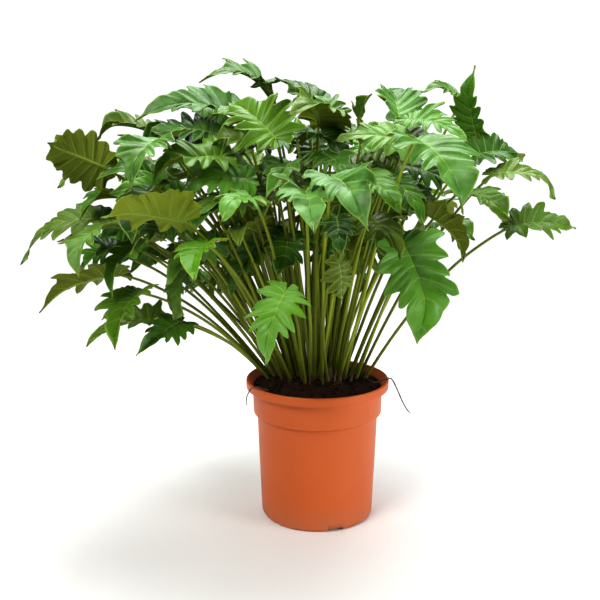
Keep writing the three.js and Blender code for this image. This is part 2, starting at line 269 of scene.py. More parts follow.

# The looks of the leaves that face the camera, listed one by one; the others are left to chance.
CHOSEN_LOOKS = {
    "leaf_01": Look(0.30, 0.25, 0.80, 0.75), "leaf_03": Look(0.20, 0.60, 0.90, 0.75),
    "leaf_04": Look(0.62, 0.05, 1.00, 0.80), "leaf_05": Look(0.35, 0.85, 0.60, 0.95),
    "leaf_06": Look(0.45, 0.00, 0.80, 0.80), "leaf_11": Look(0.45, 0.75, 0.65, 0.95),
    "leaf_12": Look(0.35, 0.85, 0.60, 0.90), "leaf_13": Look(0.30, 0.60, 0.90, 0.85),
    "leaf_14": Look(0.15, 0.30, 1.00, 0.85), "leaf_15": Look(0.15, 0.00, 0.50, 1.00),
    "leaf_18": Look(0.25, 0.80, 0.80, 0.80), "leaf_19": Look(1.00, 0.00, 0.55, 1.05),
    "leaf_21": Look(0.30, 0.75, 0.90, 0.85), "leaf_23": Look(0.05, 0.00, 0.90, 0.80),
    "leaf_27": Look(0.95, 0.00, 1.00, 0.80), "leaf_31": Look(0.85, 0.45, 1.25, 0.85),
    "leaf_32": Look(0.40, 0.95, 1.00, 0.95), "leaf_33": Look(0.30, 0.90, 0.50, 1.00),
    "leaf_34": Look(0.15, 0.05, 1.00, 0.80), "leaf_35": Look(0.05, 0.00, 1.00, 0.80),
    "leaf_36": Look(0.55, 0.30, 0.90, 0.85), "leaf_38": Look(0.75, 0.35, 0.75, 1.25),
    "leaf_39": Look(0.20, 0.20, 1.00, 0.80), "leaf_41": Look(0.30, 0.35, 1.00, 0.75),
    "leaf_43": Look(0.05, 0.00, 0.90, 0.85),
}

# A CAD leaf has STALK_RINGS rings on its stalk, one at the joint and one at each of BLADE_PLACES on its
# blade. BLADE_REACH is half the blade's width there. Both are shares of the blade's length.
STALK_RINGS = 5
BLADE_PLACES = np.array([0.05, 0.12, 0.22, 0.31, 0.40, 0.50, 0.64, 0.84])
BLADE_REACH = np.array([0.27, 0.12, 0.35, 0.13, 0.31, 0.13, 0.21, 0.10])
BLADE_FOLD = math.radians(16)


def ring_walk(node):
    """The rings of a lofted CAD leaf, from the middle of its foot to its tip: a point's ring is its number of
    edges from the foot."""
    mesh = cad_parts[node].data
    raw = np.empty(len(mesh.vertices) * 3)
    mesh.vertices.foreach_get("co", raw)
    corners = np.empty(len(mesh.loops), np.int64)
    mesh.loops.foreach_get("vertex_index", corners)
    points, inverse = np.unique(np.round(raw.reshape(-1, 3), 6), axis=0, return_inverse=True)
    corners = inverse.reshape(-1)[corners].reshape(-1, 3)
    edges = np.vstack([corners[:, [0, 1]], corners[:, [1, 2]], corners[:, [2, 0]]])
    edges = np.vstack([edges, edges[:, ::-1]])
    low = np.flatnonzero(points[:, 2] < points[:, 2].min() + 1e-5)
    start = low[np.argmin(np.linalg.norm(points[low] - points[low].mean(0), axis=1))]
    step = np.full(len(points), -1)
    step[start] = 0
    for distance in range(len(points)):
        reached = edges[step[edges[:, 0]] == distance, 1]
        fresh = reached[step[reached] < 0]
        if not len(fresh):
            break
        step[fresh] = distance + 1
    return [points[step == k] for k in range(step.max() + 1)]


def read_leaf(node):
    """Stalk curve, midrib curve, side direction and width of a CAD leaf, from its rings."""
    rings = ring_walk(node)
    foot = rings[1].mean(0)
    joint = rings[STALK_RINGS + 1].mean(0)
    tip = rings[-1][0]
    half_way = rings[1 + (STALK_RINGS - 1) // 2].mean(0)
    stalk_bend = 2 * half_way - (foot + joint) / 2
    chord = np.linalg.norm(tip - joint)
    bends, rises, widths = [], [], []
    for place, reach, ring in zip(BLADE_PLACES, BLADE_REACH, rings[STALK_RINGS + 2:-1]):
        order = np.argsort(np.linalg.norm(ring - ring.mean(0), axis=1))
        centre, edge = ring[order[:2]].mean(0), ring[order[2:]]
        bends.append((centre - (1 - place) ** 2 * joint - place ** 2 * tip) / (2 * place * (1 - place)))
        far = edge[np.argmax(np.linalg.norm(edge - edge[0], axis=1))]
        widths.append(np.linalg.norm(far - edge[0]) / (2 * math.cos(BLADE_FOLD) * reach * chord))
        rises.append(edge.mean(0) - centre)
    rib_bend = np.mean(bends[2:7], axis=0)
    rise = np.zeros(3)
    for place, lift in zip(BLADE_PLACES, rises):
        heading = quadratic_heading(joint, rib_bend, tip, place)
        rise += lift - heading * (lift @ heading)
    side = unit(np.cross(tip - joint, unit(rise)))
    return Leaf(foot, stalk_bend, joint, rib_bend, tip, side, float(np.median(widths)))


# ---------------------------------------------------------------- leaves: the blade

# Lateral veins of one half of a blade, from the stalk to the tip: where the vein leaves the midrib, in shares
# of the blade's length, its angle from the midrib in degrees, its length, half the width of its lobe, and how
# deep the cut after the lobe is.
LOBES = (
    (0.010, 145, 0.18, 0.046, 0.20),
    (0.030, 113, 0.27, 0.046, 0.36),
    (0.095, 88, 0.335, 0.047, 0.42),
    (0.185, 71, 0.37, 0.048, 0.43),
    (0.290, 58, 0.365, 0.046, 0.41),
    (0.410, 45, 0.325, 0.040, 0.27),
)
# The end lobe's margin: [across, along, place on the midrib]
END_LOBE = ((0.166, 0.670, 0.52), (0.158, 0.750, 0.60), (0.108, 0.838, 0.72), (0.046, 0.905, 0.84),
            (0.011, 0.962, 0.93), (0.0, 1.0, 1.0))
FINE_STEPS = 5                      # rows of a blade's grid for each span between two corners of its margin
COARSE_STEPS = 3
ACROSS = np.array([0, 0.03, 0.07, 0.13, 0.21, 0.32, 0.45, 0.59, 0.73, 0.86, 0.955, 1.0])


def margin_points(rng, look):
    """Corner points of one half's margin: each lobe has a broad shoulder on its stalk side, a blunt tip
    and a small shoulder on its far side, and ends in a cut. Every point has the midrib place its vein
    line starts from, and how rounded the margin is there: 1 is round, 0 is a sharp point."""
    corners = [(0.012, 0.0, 0.0, 0.6)]
    lobes = []
    for place, angle, length, half_width, cut in LOBES:
        turned = math.radians(angle + rng.normal(0, 3.5))
        reach = length * (1 + rng.normal(0, 0.08))
        heading = np.array([math.sin(turned), math.cos(turned)])
        across = np.array([math.cos(turned), -math.sin(turned)]) * half_width * (1 + rng.normal(0, 0.1))
        lobes.append((np.array([0, place]), heading * reach, across, place, cut))
    ends = [lobe[0] + lobe[1] for lobe in lobes] + [np.array(END_LOBE[0][:2]) * (1.1, 1.03)]
    places = [lobe[3] for lobe in lobes] + [END_LOBE[0][2]]
    for k, (root, reach, across, place, cut) in enumerate(lobes):
        near = root + (1 - 0.20 * look.depth) * reach + 1.05 * across
        far = root + (1 - 0.10 * look.depth) * reach - 0.80 * across
        before = places[k - 1] if k else 0.0
        corners.append((*near, place - 0.22 * (place - before), 0.95))
        corners.append((*ends[k], place, 0.95))
        corners.append((*far, place + 0.22 * (places[k + 1] - place), 0.9))
        cut = min(0.66, cut * look.depth * (1 + rng.normal(0, 0.12)))
        start = (place + places[k + 1]) / 2
        middle = (ends[k] + ends[k + 1]) / 2
        corners.append((*(middle * (1 - cut) + np.array([0, start]) * cut), start, 0.8))
    swell = look.end_width * (1 + rng.normal(0, 0.05, len(END_LOBE)))
    corners += [(x * wide, y, place, 0.95) for wide, (x, y, place) in zip(swell, END_LOBE)]
    return np.array(corners)


def hermite(corners, roundness, steps):
    """A smooth line through the corners: each corner's direction is that of its neighbours' chord, scaled
    by its roundness."""
    pull = np.gradient(corners, axis=0) * roundness[:, None]
    t = np.linspace(0, 1, steps, endpoint=False)[None, :, None]
    a, b, m, n = corners[:-1, None], corners[1:, None], pull[:-1, None], pull[1:, None]
    spans = (a * (2 * t ** 3 - 3 * t ** 2 + 1) + m * (t ** 3 - 2 * t ** 2 + t)
             + b * (3 * t ** 2 - 2 * t ** 3) + n * (t ** 3 - t ** 2))
    return np.vstack([spans.reshape(-1, corners.shape[1]), corners[-1:]])


def half_plan(rng, look, steps):
    """One half of a flat blade on a grid: rows follow the margin from stalk to tip, columns run from the
    midrib to the margin, along lines that bend a little towards the tip. Gives across and along shares
    and the rows' fan numbers, which count the margin's corners."""
    corners = margin_points(rng, look)
    margin = hermite(corners[:, :2], corners[:, 3], steps)
    fan = np.linspace(0, len(corners) - 1, len(margin))
    start = np.interp(fan, np.arange(len(corners)), corners[:, 2])
    v = ACROSS[None, :]
    across = margin[:, :1] * v
    along = start[:, None] + (margin[:, 1:] - start[:, None]) * v ** 1.18
    return across, along, fan


# Corners of the margin that a lateral vein runs out to, and the first corner of the end lobe
VEIN_CORNERS = np.array([2, 6, 10, 14, 18, 22, 26, 28])
END_LOBE_CORNER = 25


def vein_distance(across, along, length, width, steps):
    """Distance of every grid point to the nearest lateral vein, measured at the same share across."""
    plan = np.stack([across * width, along * length], -1)
    gaps = np.linalg.norm(plan[:, None] - plan[VEIN_CORNERS * steps][None], axis=-1)
    return gaps.min(1)


def midrib(leaf, bends, y):
    """Midrib points at shares y of its length, with their sideways and upward directions: the CAD node's
    curve, twisted about itself, its end hooked down and swayed to one side."""
    twist, hook, sway = bends
    length = np.linalg.norm(leaf.tip - leaf.joint)
    place = np.clip(y, 0, 1)
    heading = quadratic_heading(leaf.joint, leaf.rib_bend, leaf.tip, place)
    spine = quadratic(leaf.joint, leaf.rib_bend, leaf.tip, place)
    spine = spine + heading * (np.minimum(y, 0) * length)[..., None]
    angle = (twist * (place - 0.3))[..., None]
    side = leaf.side * np.cos(angle) + np.cross(leaf.side, heading) * np.sin(angle)
    up = np.cross(side, heading)
    spine = spine + side * (sway * length * smooth_step(0.5, 1.0, y) ** 2)[..., None]
    return spine - up * (hook * length * smooth_step(0.6, 1.0, y) * place)[..., None], side, up


BladeHalf = namedtuple("BladeHalf", "across along fan lift vein")


def blade_half(rng, look, length, half_width, steps):
    """One half of a blade with its lift: each lobe rises or sinks with the square of the share across,
    and a ripple from lobe to lobe and a finer one near the margin grow with its power of 1.5."""
    across, along, fan = half_plan(rng, look, steps)
    knots = np.concatenate([[0], VEIN_CORNERS, [fan[-1]]])
    heights = np.concatenate([[0], rng.normal(0, 0.05, len(VEIN_CORNERS)), [0]])
    rise = np.interp(fan, knots, heights)
    ripple = np.where(fan < END_LOBE_CORNER, -0.016 * np.cos(math.pi * (fan - 2) / 2), 0.0)
    fine = 0.006 * np.sin(fan * rng.uniform(3.5, 4.5) + rng.uniform(0, 6))
    ripple += fine * np.clip((fan[-1] - fan) / 5, 0, 1)
    lift = rise[:, None] * ACROSS ** 2 + ripple[:, None] * ACROSS ** 1.5
    return BladeHalf(across, along, fan, lift, vein_distance(across, along, length, half_width, steps))


def both_sides(left, right):
    """Two halves' values side by side, from the left margin to the right one, with the midrib's column
    once."""
    return np.hstack([left[:, ::-1][:, :-1], right])


def blade(leaf, look, bends, rng, settings, steps):
    """A lobed blade along the midrib curve: the flat plan is laid on the curve, folded up at the midrib,
    drooped at its outer parts, waved from lobe to lobe and twisted a little. Upper and under face meet in
    a thin margin."""
    length = float(np.linalg.norm(leaf.tip - leaf.joint))
    half_width = length * leaf.width
    fold = math.radians(rng.uniform(12, 34))
    droop = rng.uniform(0.4, 1.4)
    left, right = (blade_half(rng, look, length, half_width, steps) for _ in range(2))
    x = both_sides(-left.across, right.across)
    y = both_sides(left.along, right.along)
    vein = both_sides(left.vein, right.vein)
    lift = both_sides(left.lift, right.lift)
    v = both_sides(ACROSS[None], ACROSS[None]) * np.ones_like(x)
    fan = np.repeat(left.fan[:, None], x.shape[1], 1)

    width = np.abs(x) * leaf.width
    z = width * math.tan(fold) - droop * width ** 2 + lift * np.maximum(leaf.width, 0.8)
    quilt = (1 - np.exp(-(vein / (5 * MM)) ** 2)) * (1 - v ** 3) * smooth_step(0.0, 0.12, v)
    z = z * length + quilt * 1.0 * MM
    spine, side, up = midrib(leaf, bends, y)
    middle = spine + side * (x * half_width)[..., None] + up * z[..., None]

    normal = unit(np.cross(np.gradient(middle, axis=1), np.gradient(middle, axis=0)))
    normal = np.where((normal * up).sum(-1, keepdims=True) < 0, -normal, normal)
    half = settings.thickness / 2 * (1 + 0.8 * np.exp(-np.abs(x) * half_width / (4 * MM)))
    half[:, [0, -1]] = 0
    half[[0, -1], :] = 0
    upper = middle + normal * half[..., None]
    under = middle - normal * half[..., None]

    place = np.clip(y, 0, 1)
    taper = 1 - 0.75 * place
    rib = np.abs(x) * half_width / (settings.rib_width * taper)
    vein_share = vein / (settings.vein_width * (1.05 - 0.7 * v) * (1 - 0.3 * place))
    reach = np.abs(x[:, [0, -1]]).max(1)[:, None] * half_width
    edge = (1 - v) * np.maximum(reach, 4 * MM) / MM
    attributes = {"rib": rib, "vein": vein_share, "edge": edge, "fan": fan, "across": v, "along": y}
    rows, cols = x.shape
    faces = grid_triangles(rows, cols)
    points = np.vstack([upper.reshape(-1, 3), under.reshape(-1, 3)])
    triangles = np.vstack([faces, faces[:, ::-1] + rows * cols])
    kinds = np.repeat([0, 1], len(faces))
    doubled = {name: np.tile(values.ravel(), 2) for name, values in attributes.items()}
    points, triangles, doubled, kinds = weld(points, triangles, doubled, kinds)
    turned = outward(points, triangles)
    return points, turned, doubled, kinds


STALK_SIDES = 10
STALK_ROWS = 26
RIB_ROWS = 22
RIB_END = 0.93                      # the rib stops at this share of the blade's length


def stalk(leaf, bends, rng, settings):
    """The stalk from under the soil to the joint, and on as a tapering rib under the blade: one tube
    whose path is dense and rounded at the joint and whose foot flares into a sheath."""
    t = 1 - np.linspace(1, 0, STALK_ROWS) ** 1.6
    y = RIB_END * np.linspace(0, 1, RIB_ROWS)[1:] ** 1.4
    span = np.linalg.norm(leaf.joint - leaf.foot)
    below = leaf.foot - np.array([0, 0, 5 * MM])
    sway = noise_field(leaf.foot + t[:, None] * np.array([span, 0, 0]), 0.16, int(rng.integers(1e6)), 2)
    wobble = leaf.side * (sway * 1.6 * MM * np.sin(math.pi * t))[:, None]
    stem = quadratic(leaf.foot, leaf.stalk_bend, leaf.joint, t) + wobble
    spine, _, up = midrib(leaf, bends, y)
    rib_radius = 0.92 * settings.stalk_joint_radius * (1 - y / RIB_END) ** 0.8 + 0.25 * MM
    rib = spine - up * (0.55 * rib_radius)[:, None]
    path = np.vstack([below, stem, rib])
    near = np.abs(np.arange(len(path)) - len(stem)) < 6
    for _ in range(4):
        eased = path.copy()
        eased[1:-1] = (path[:-2] + 2 * path[1:-1] + path[2:]) / 4
        path = np.where(near[:, None], eased, path)
    thick, thin = settings.stalk_foot_radius, settings.stalk_joint_radius
    radius = thick + (thin - thick) * t ** 0.8 + 0.2 * thick * np.exp(-t * span / (12 * MM))
    radii = np.concatenate([[radius[0]], radius, rib_radius])
    points, triangles = tube(path, radii, STALK_SIDES, leaf.side)
    rings = np.repeat(np.concatenate([[0], np.arange(len(path)), [len(path) - 1]]), STALK_SIDES)
    joint_share = np.concatenate([[0], t, 1 + y])[rings]
    angle = np.tile(np.arange(STALK_SIDES) / STALK_SIDES, len(path) + 2)
    attributes = {name: np.zeros(len(points)) for name in ("rib", "vein", "edge", "across")}
    attributes |= {"fan": angle, "along": joint_share}
    kinds = np.full(len(triangles), 2)
    points, triangles, attributes, kinds = weld(points, triangles, attributes, kinds)
    return points, outward(points, triangles), attributes, kinds


def chance_look(rng):
    """A look drawn from the usual ones: few leaves are bright, and most are cut to a middle depth."""
    return Look(rng.beta(0.8, 1.5), 0.6 * rng.uniform() ** 2, rng.uniform(0.6, 1.3), rng.uniform(0.65, 0.95))


def build_leaf(name, leaf, look, seed, materials, settings, steps, stands_for=()):
    """One leaf, stalk and blade together, as one piece with three materials."""
    rng = np.random.default_rng(seed)
    bends = (math.radians(rng.normal(0, 12)), rng.uniform(0.0, 0.18), rng.normal(0, 0.04))
    parts = [blade(leaf, look, bends, rng, settings, steps), stalk(leaf, bends, rng, settings)]
    offsets = np.cumsum([0] + [len(part[0]) for part in parts[:-1]])
    points = np.vstack([part[0] for part in parts])
    triangles = np.vstack([part[1] + offset for part, offset in zip(parts, offsets)])
    attributes = {key: np.concatenate([part[2][key] for part in parts]) for key in parts[0][2]}
    # Each leaf's share of painted glare, a pale sheen of light painted on its upper face.
    whole = {"tone": look.tone, "bloom": look.bloom, "shade": rng.uniform()}
    attributes |= {key: np.full(len(points), value) for key, value in whole.items()}
    kinds = np.concatenate([part[3] for part in parts])
    mesh = make_mesh(name, points, triangles, attributes, kinds)
    return add_piece(name, mesh, materials, stands_for)


# ---------------------------------------------------------------- leaves: the inner ones


def leaf_cloud(leaf):
    """Points along a leaf's stalk, and points over its blade, to keep other leaves clear of it."""
    t = np.linspace(0.25, 0.97, 16)
    y = np.linspace(0, 1, 6)
    rib = quadratic(leaf.joint, leaf.rib_bend, leaf.tip, y)
    reach = np.linalg.norm(leaf.tip - leaf.joint) * leaf.width * 0.28
    blade_points = np.vstack([rib, rib[:5] + leaf.side * reach, rib[:5] - leaf.side * reach])
    return quadratic(leaf.foot, leaf.stalk_bend, leaf.joint, t), blade_points


CROWN_MIDDLE = np.array([-0.035, 0.02, 0.36])
FOOT_BED = np.array([0, 18 * MM, 0])                 # the feet stand round this place, back from the front
CROWN_LEFT, CROWN_RIGHT, CROWN_DEEP, CROWN_HIGH = 0.295, 0.220, 0.215, 0.235
CROWN_TOP = 0.615                                    # inner leaves with a higher tip are hardly ever chosen
TRIES = 45                                           # tries for each inner leaf


def inner_leaf(rng):
    """A smaller leaf inside the crown: its joint lies in a half egg-shaped shell under the outer leaves,
    its blade points outwards and hangs, and its upper face turns out and to the light. None hangs low at
    the front, where the stalks stand open."""
    azimuth = rng.uniform(0, 2 * math.pi)
    radial = np.array([math.cos(azimuth), math.sin(azimuth), 0])
    front = max(0.0, -radial[1])
    low = 0.02 + 0.75 * front ** 1.5 if radial[0] < 0 else 0.25 + 0.5 * front
    rise = rng.uniform(min(low, 0.8), 1) ** 0.9
    level = math.sqrt(max(0.0, 1 - rise ** 2))
    shell = rng.uniform(0.3, 0.98)
    wide = CROWN_LEFT if radial[0] < 0 else CROWN_RIGHT
    joint = CROWN_MIDDLE + shell * np.array([wide * level * radial[0], CROWN_DEEP * level * radial[1],
                                             CROWN_HIGH * rise])
    heading = radial * rng.uniform(0.4, 1.0) + rng.normal(0, 0.35, 3) * (1, 1, 0.4)
    heading = unit(heading + np.array([0, -0.25, rng.uniform(-0.75, 0.05) + 0.25 * rise]))
    length = rng.uniform(0.078, 0.12)
    tip = joint + heading * length
    light = radial * 0.45 * level + np.array([0, -0.5, 0.8])
    side = unit(np.cross(heading, light))
    up = np.cross(side, heading)
    roll = rng.normal(0, 0.3)
    side, up = side * math.cos(roll) + up * math.sin(roll), up * math.cos(roll) - side * math.sin(roll)
    rib_bend = (joint + tip) / 2 + up * length * rng.uniform(0.1, 0.32)
    outwards = unit(joint * (1, 1, 0))
    lean = np.hypot(joint[0], joint[1]) / (joint[2] - SOIL_TOP)
    foot = FOOT_BED + outwards * (1, 0.66, 1) * min(0.070, 0.060 * lean ** 0.6)
    foot += np.array([*rng.normal(0, 0.006, 2), SOIL_TOP])
    span = np.linalg.norm(joint - foot)
    stalk_bend = (foot + joint) / 2 + np.array([*rng.normal(0, 0.014, 2), 0.2 * span])
    return Leaf(foot, stalk_bend, joint, rib_bend, tip, side, rng.uniform(0.85, 1.15))


def inner_leaves(outer, settings):
    """Leaves placed one by one, each the one of many tries that stands clearest of all the leaves before
    it: blades count in full, stalks at four times their distance, since they may stand close together. A
    leaf whose upper face looks away from the light, or whose tip stands above the crown, counts for less."""
    rng = np.random.default_rng(settings.seed)
    stalks, blades = (np.vstack(points) for points in zip(*(leaf_cloud(leaf) for leaf in outer)))
    chosen = []
    for _ in range(settings.inner_count):
        tries = [inner_leaf(rng) for _ in range(TRIES)]
        scores = []
        for leaf in tries:
            own_stalk, own_blade = leaf_cloud(leaf)
            between_blades = np.linalg.norm(own_blade[:, None] - blades[None], axis=-1).min()
            blade_to_stalk = np.linalg.norm(own_blade[:, None] - stalks[None], axis=-1).min()
            stalk_to_blade = np.linalg.norm(own_stalk[:, None] - blades[None], axis=-1).min()
            between_stalks = np.linalg.norm(own_stalk[:, None] - stalks[None], axis=-1).min()
            clear = min(between_blades, 2 * blade_to_stalk, 2 * stalk_to_blade, 4 * between_stalks)
            upper = np.cross(leaf.side, unit(leaf.tip - leaf.joint))
            clear *= 0.3 if upper[1] > 0.3 else 1.0
            scores.append(clear * (0.05 if leaf.tip[2] > CROWN_TOP else 1.0))
        best = tries[int(np.argmax(scores))]
        chosen.append(best)
        best_stalk, best_blade = leaf_cloud(best)
        stalks, blades = np.vstack([stalks, best_stalk]), np.vstack([blades, best_blade])
    return chosen


# ---------------------------------------------------------------- turned shapes: pot, soil, stems


def rounded(corners, radius, steps=5):
    """A profile whose inner corners become short arcs: each arc is a curve from one cut point to the
    other that leans to the corner, and the cuts never pass the middle of a side."""
    corners = np.asarray(corners, float)
    before, here, after = corners[:-2], corners[1:-1], corners[2:]
    to_before, to_after = before - here, after - here
    cut_before = np.minimum(radius, 0.45 * np.linalg.norm(to_before, axis=1))[:, None]
    cut_after = np.minimum(radius, 0.45 * np.linalg.norm(to_after, axis=1))[:, None]
    a, b = here + unit(to_before) * cut_before, here + unit(to_after) * cut_after
    t = np.linspace(0, 1, steps)[None, :, None]
    arcs = (1 - t) ** 2 * a[:, None] + 2 * t * (1 - t) * here[:, None] + t ** 2 * b[:, None]
    return np.vstack([corners[:1], arcs.reshape(-1, 2), corners[-1:]])


def refine(profile, longest):
    """The same profile with its long sides divided."""
    lengths = np.linalg.norm(np.diff(profile, axis=0), axis=1)
    pieces = np.maximum(1, np.ceil(lengths / longest).astype(int))
    steps = [a + (b - a) * np.linspace(0, 1, n, endpoint=False)[:, None]
             for a, b, n in zip(profile[:-1], profile[1:], pieces)]
    return np.vstack([*steps, profile[-1:]])


def turned(profile, angles):
    """A profile of (radius, height) carried round the upright axis: grid of profile points times angles."""
    r, z = profile[:, 0][:, None], profile[:, 1][:, None]
    return np.stack([r * np.cos(angles), r * np.sin(angles), z * np.ones_like(angles)], -1)


def closed_turning(name, grid, attributes=None):
    """The closed mesh of a turned grid whose first and last rows lie on the axis or in one edge."""
    rows, columns = grid.shape[:2]
    points = grid.reshape(-1, 3)
    triangles = grid_triangles(rows, columns, closed_across=True)
    kinds = np.zeros(len(triangles))
    flat = {key: values.ravel() for key, values in (attributes or {}).items()}
    points, triangles, flat, _ = weld(points, triangles, flat, kinds)
    return make_mesh(name, points, outward(points, triangles), flat)


NOTCHES = 4
FIRST_NOTCH = math.radians(-71)
NOTCH_SLOPE = 0.004                 # half the angle, in radians, over which a notch's side rises
POT_SIDES = 240


def pot_corners():
    """The pot's section, from the middle of the underside up the outside and down the inside to the floor."""
    r, h = RIM_RADIUS, POT_HEIGHT
    lip = h - 13 * MM
    collar, body, foot = 0.9 * r, 0.848 * r, 0.752 * r
    wall = 1.9 * MM
    return np.array([
        (0, 0), (18 * MM, 0), (21 * MM, 6.5 * MM),
        (foot - 9 * MM, 6.5 * MM), (foot - 7.5 * MM, 0), (foot, 0), (foot + 4 * MM, 4 * MM),
        (body, h - 53 * MM), (collar, h - 50 * MM), (collar + 1 * MM, lip - 0.8 * MM),
        (r - 0.6 * MM, lip), (r, lip + 1 * MM), (r, h - 2 * MM), (r - 1.5 * MM, h),
        (r - 3 * MM, h - 0.5 * MM),
        (collar + 1 * MM - wall, h - 10 * MM), (collar - wall, h - 48 * MM), (body - wall, h - 55 * MM),
        (foot + 4 * MM - wall, 9.5 * MM), (0, 9 * MM),
    ])


def build_pot_mesh(settings):
    """The pot's rounded section turned round the axis, its foot lifted in four short arcs as drain
    notches."""
    profile = refine(rounded(pot_corners(), settings.edge_round), 9 * MM)
    half_angle = settings.notch_width / 2 / (0.77 * RIM_RADIUS)
    centres = FIRST_NOTCH + np.arange(NOTCHES) * 2 * math.pi / NOTCHES
    sides = np.concatenate([centres - half_angle, centres + half_angle])
    edges = np.concatenate([sides - NOTCH_SLOPE, sides + NOTCH_SLOPE])
    even = np.linspace(-math.pi, math.pi, POT_SIDES, endpoint=False)
    angles = np.sort(np.concatenate([even, (edges + math.pi) % (2 * math.pi) - math.pi]))
    grid = turned(profile, angles)
    away = np.abs((angles[:, None] - centres + math.pi) % (2 * math.pi) - math.pi).min(1)
    share = smooth_step(half_angle + NOTCH_SLOPE, half_angle - NOTCH_SLOPE, away)
    lifted = settings.notch_height * share
    foot = profile[:, 0] > 0.6 * RIM_RADIUS
    grid[..., 2] = np.where(foot[:, None], np.maximum(grid[..., 2], lifted[None]), grid[..., 2])
    return closed_turning("pot_shell", grid)


BED_RINGS = 90
BED_SIDES = 260


def soil_height(points, settings):
    """Height of the soil's top: a low dome that falls to the wall, with lumps and finer crumbs on it."""
    radius = np.hypot(points[:, 0], points[:, 1])
    flat = np.column_stack([points[:, 0], points[:, 1], np.zeros(len(points))])
    edge = smooth_step(0.092, 0.070, radius)
    lumps = noise_field(flat, 0.032, 5, 2) + 0.55 * np.abs(noise_field(flat, 0.011, 6, 3))
    return SOIL_TOP - 3 * MM + settings.dome * edge + settings.lump * 0.5 * lumps * (0.35 + 0.65 * edge)


def build_soil_mesh(settings):
    """The soil as one closed body: the pot's inside, 0.3 mm clear of it, under the lumpy top."""
    low, high = (np.array(corner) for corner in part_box("soil"))
    top_radius = float(high[0])
    body = np.array([
        (0, low[2]), (0.765 * RIM_RADIUS, low[2] + 0.5 * MM),
        (0.825 * RIM_RADIUS, POT_HEIGHT - 55 * MM), (0.877 * RIM_RADIUS, POT_HEIGHT - 47.7 * MM),
        (top_radius - 0.4 * MM, SOIL_TOP - 9 * MM),
    ])
    ring = np.linspace(top_radius - 0.4 * MM, 0, BED_RINGS)
    profile = np.vstack([refine(body, 12 * MM), np.column_stack([ring, np.full(BED_RINGS, SOIL_TOP)])])
    angles = np.linspace(-math.pi, math.pi, BED_SIDES, endpoint=False)
    grid = turned(profile, angles)
    top = grid[-BED_RINGS:].reshape(-1, 3)
    heights = soil_height(top, settings).reshape(BED_RINGS, -1)
    heights[-1] = heights[-1].mean()
    grid[-BED_RINGS:, :, 2] = heights
    return closed_turning("soil_bed", grid)


def lump_shape():
    """The 12 corners and 20 faces of a regular solid, as the start of every crumb."""
    g = (1 + math.sqrt(5)) / 2
    corners = [(-1, g, 0), (1, g, 0), (-1, -g, 0), (1, -g, 0), (0, -1, g), (0, 1, g), (0, -1, -g), (0, 1, -g),
               (g, 0, -1), (g, 0, 1), (-g, 0, -1), (-g, 0, 1)]
    faces = [(0, 11, 5), (0, 5, 1), (0, 1, 7), (0, 7, 10), (0, 10, 11),
             (1, 5, 9), (5, 11, 4), (11, 10, 2), (10, 7, 6), (7, 1, 8),
             (3, 9, 4), (3, 4, 2), (3, 2, 6), (3, 6, 8), (3, 8, 9),
             (4, 9, 5), (2, 4, 11), (6, 2, 10), (8, 6, 7), (9, 8, 1)]
    return unit(np.array(corners, float)), np.array(faces)


def turned_in_plane(shapes, angles, first, second):
    """Every shape turned by its own angle in the plane of two axes: first * cos - second * sin on the
    one, and first * sin + second * cos on the other."""
    c, s = np.cos(angles)[:, None], np.sin(angles)[:, None]
    result = shapes.copy()
    result[..., first] = shapes[..., first] * c - shapes[..., second] * s
    result[..., second] = shapes[..., first] * s + shapes[..., second] * c
    return result


def build_crumbs_mesh(settings):
    """Loose crumbs and bark chips: one small uneven solid each, squashed, turned and half sunk in the
    soil."""
    rng = np.random.default_rng(21)
    count = settings.crumb_count
    base, faces = lump_shape()
    radius = np.sqrt(rng.uniform(0, 1, count)) * 0.0905
    angle = rng.uniform(0, 2 * math.pi, count)
    size = rng.gamma(2.2, 0.62, count).clip(0.5, 3.6) * MM
    stretch = rng.uniform([0.8, 0.8, 0.35], [1.9, 1.2, 0.8], (count, 3))
    uneven = 1 + rng.normal(0, 0.16, (count, len(base), 1))
    shape = base[None] * uneven * stretch[:, None] * size[:, None, None]
    turn, lean = rng.uniform(0, 2 * math.pi, count), rng.normal(0, 0.5, count)
    shape = turned_in_plane(turned_in_plane(shape, lean, 1, 2), turn, 0, 1)
    centre = np.column_stack([radius * np.cos(angle), radius * np.sin(angle), np.zeros(count)])
    centre[:, 2] = soil_height(centre, settings) + size * 0.15
    points = (shape + centre[:, None]).reshape(-1, 3)
    triangles = (faces[None] + len(base) * np.arange(count)[:, None, None]).reshape(-1, 3)
    tone = np.repeat(rng.uniform(0, 1, count) ** 1.5, len(base))
    return make_mesh("soil_crumbs", points, outward(points, triangles), {"tone": tone}, smooth=False)


def build_stem_mesh(node):
    """A short stem inside its CAD node's box: a tapering turned form whose rings are old leaf scars."""
    low, high = (np.array(corner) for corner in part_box(node))
    centre = (low + high) / 2
    radius, height = (high[0] - low[0]) / 2, high[2] - low[2]
    z = np.linspace(0, 1, 40)
    scars = 0.07 * np.abs(np.sin(math.pi * 4.5 * z)) ** 0.5
    r = radius * (0.94 - 0.38 * z - scars) * np.sqrt(np.clip(1 - (z - 0.8).clip(0) ** 2 * 22, 0, 1))
    buried = [[0, -4 * MM], [radius * 0.9, -4 * MM]]
    profile = np.vstack([*buried, np.column_stack([r, z * height]), [0, height]])
    grid = turned(profile, np.linspace(0, 2 * math.pi, 28, endpoint=False))
    flat = grid.reshape(-1, 3)
    flat[:, :2] *= 1 + 0.07 * noise_field(flat + centre, 0.02, 3, 2)[:, None]
    flat += np.array([centre[0], centre[1], low[2]])
    return closed_turning(node + "_stub", grid)


SHEATH_ROWS = 9
SHEATH_SIDES = 10                   # points round a sheath: 5 on its front and 5 on its back


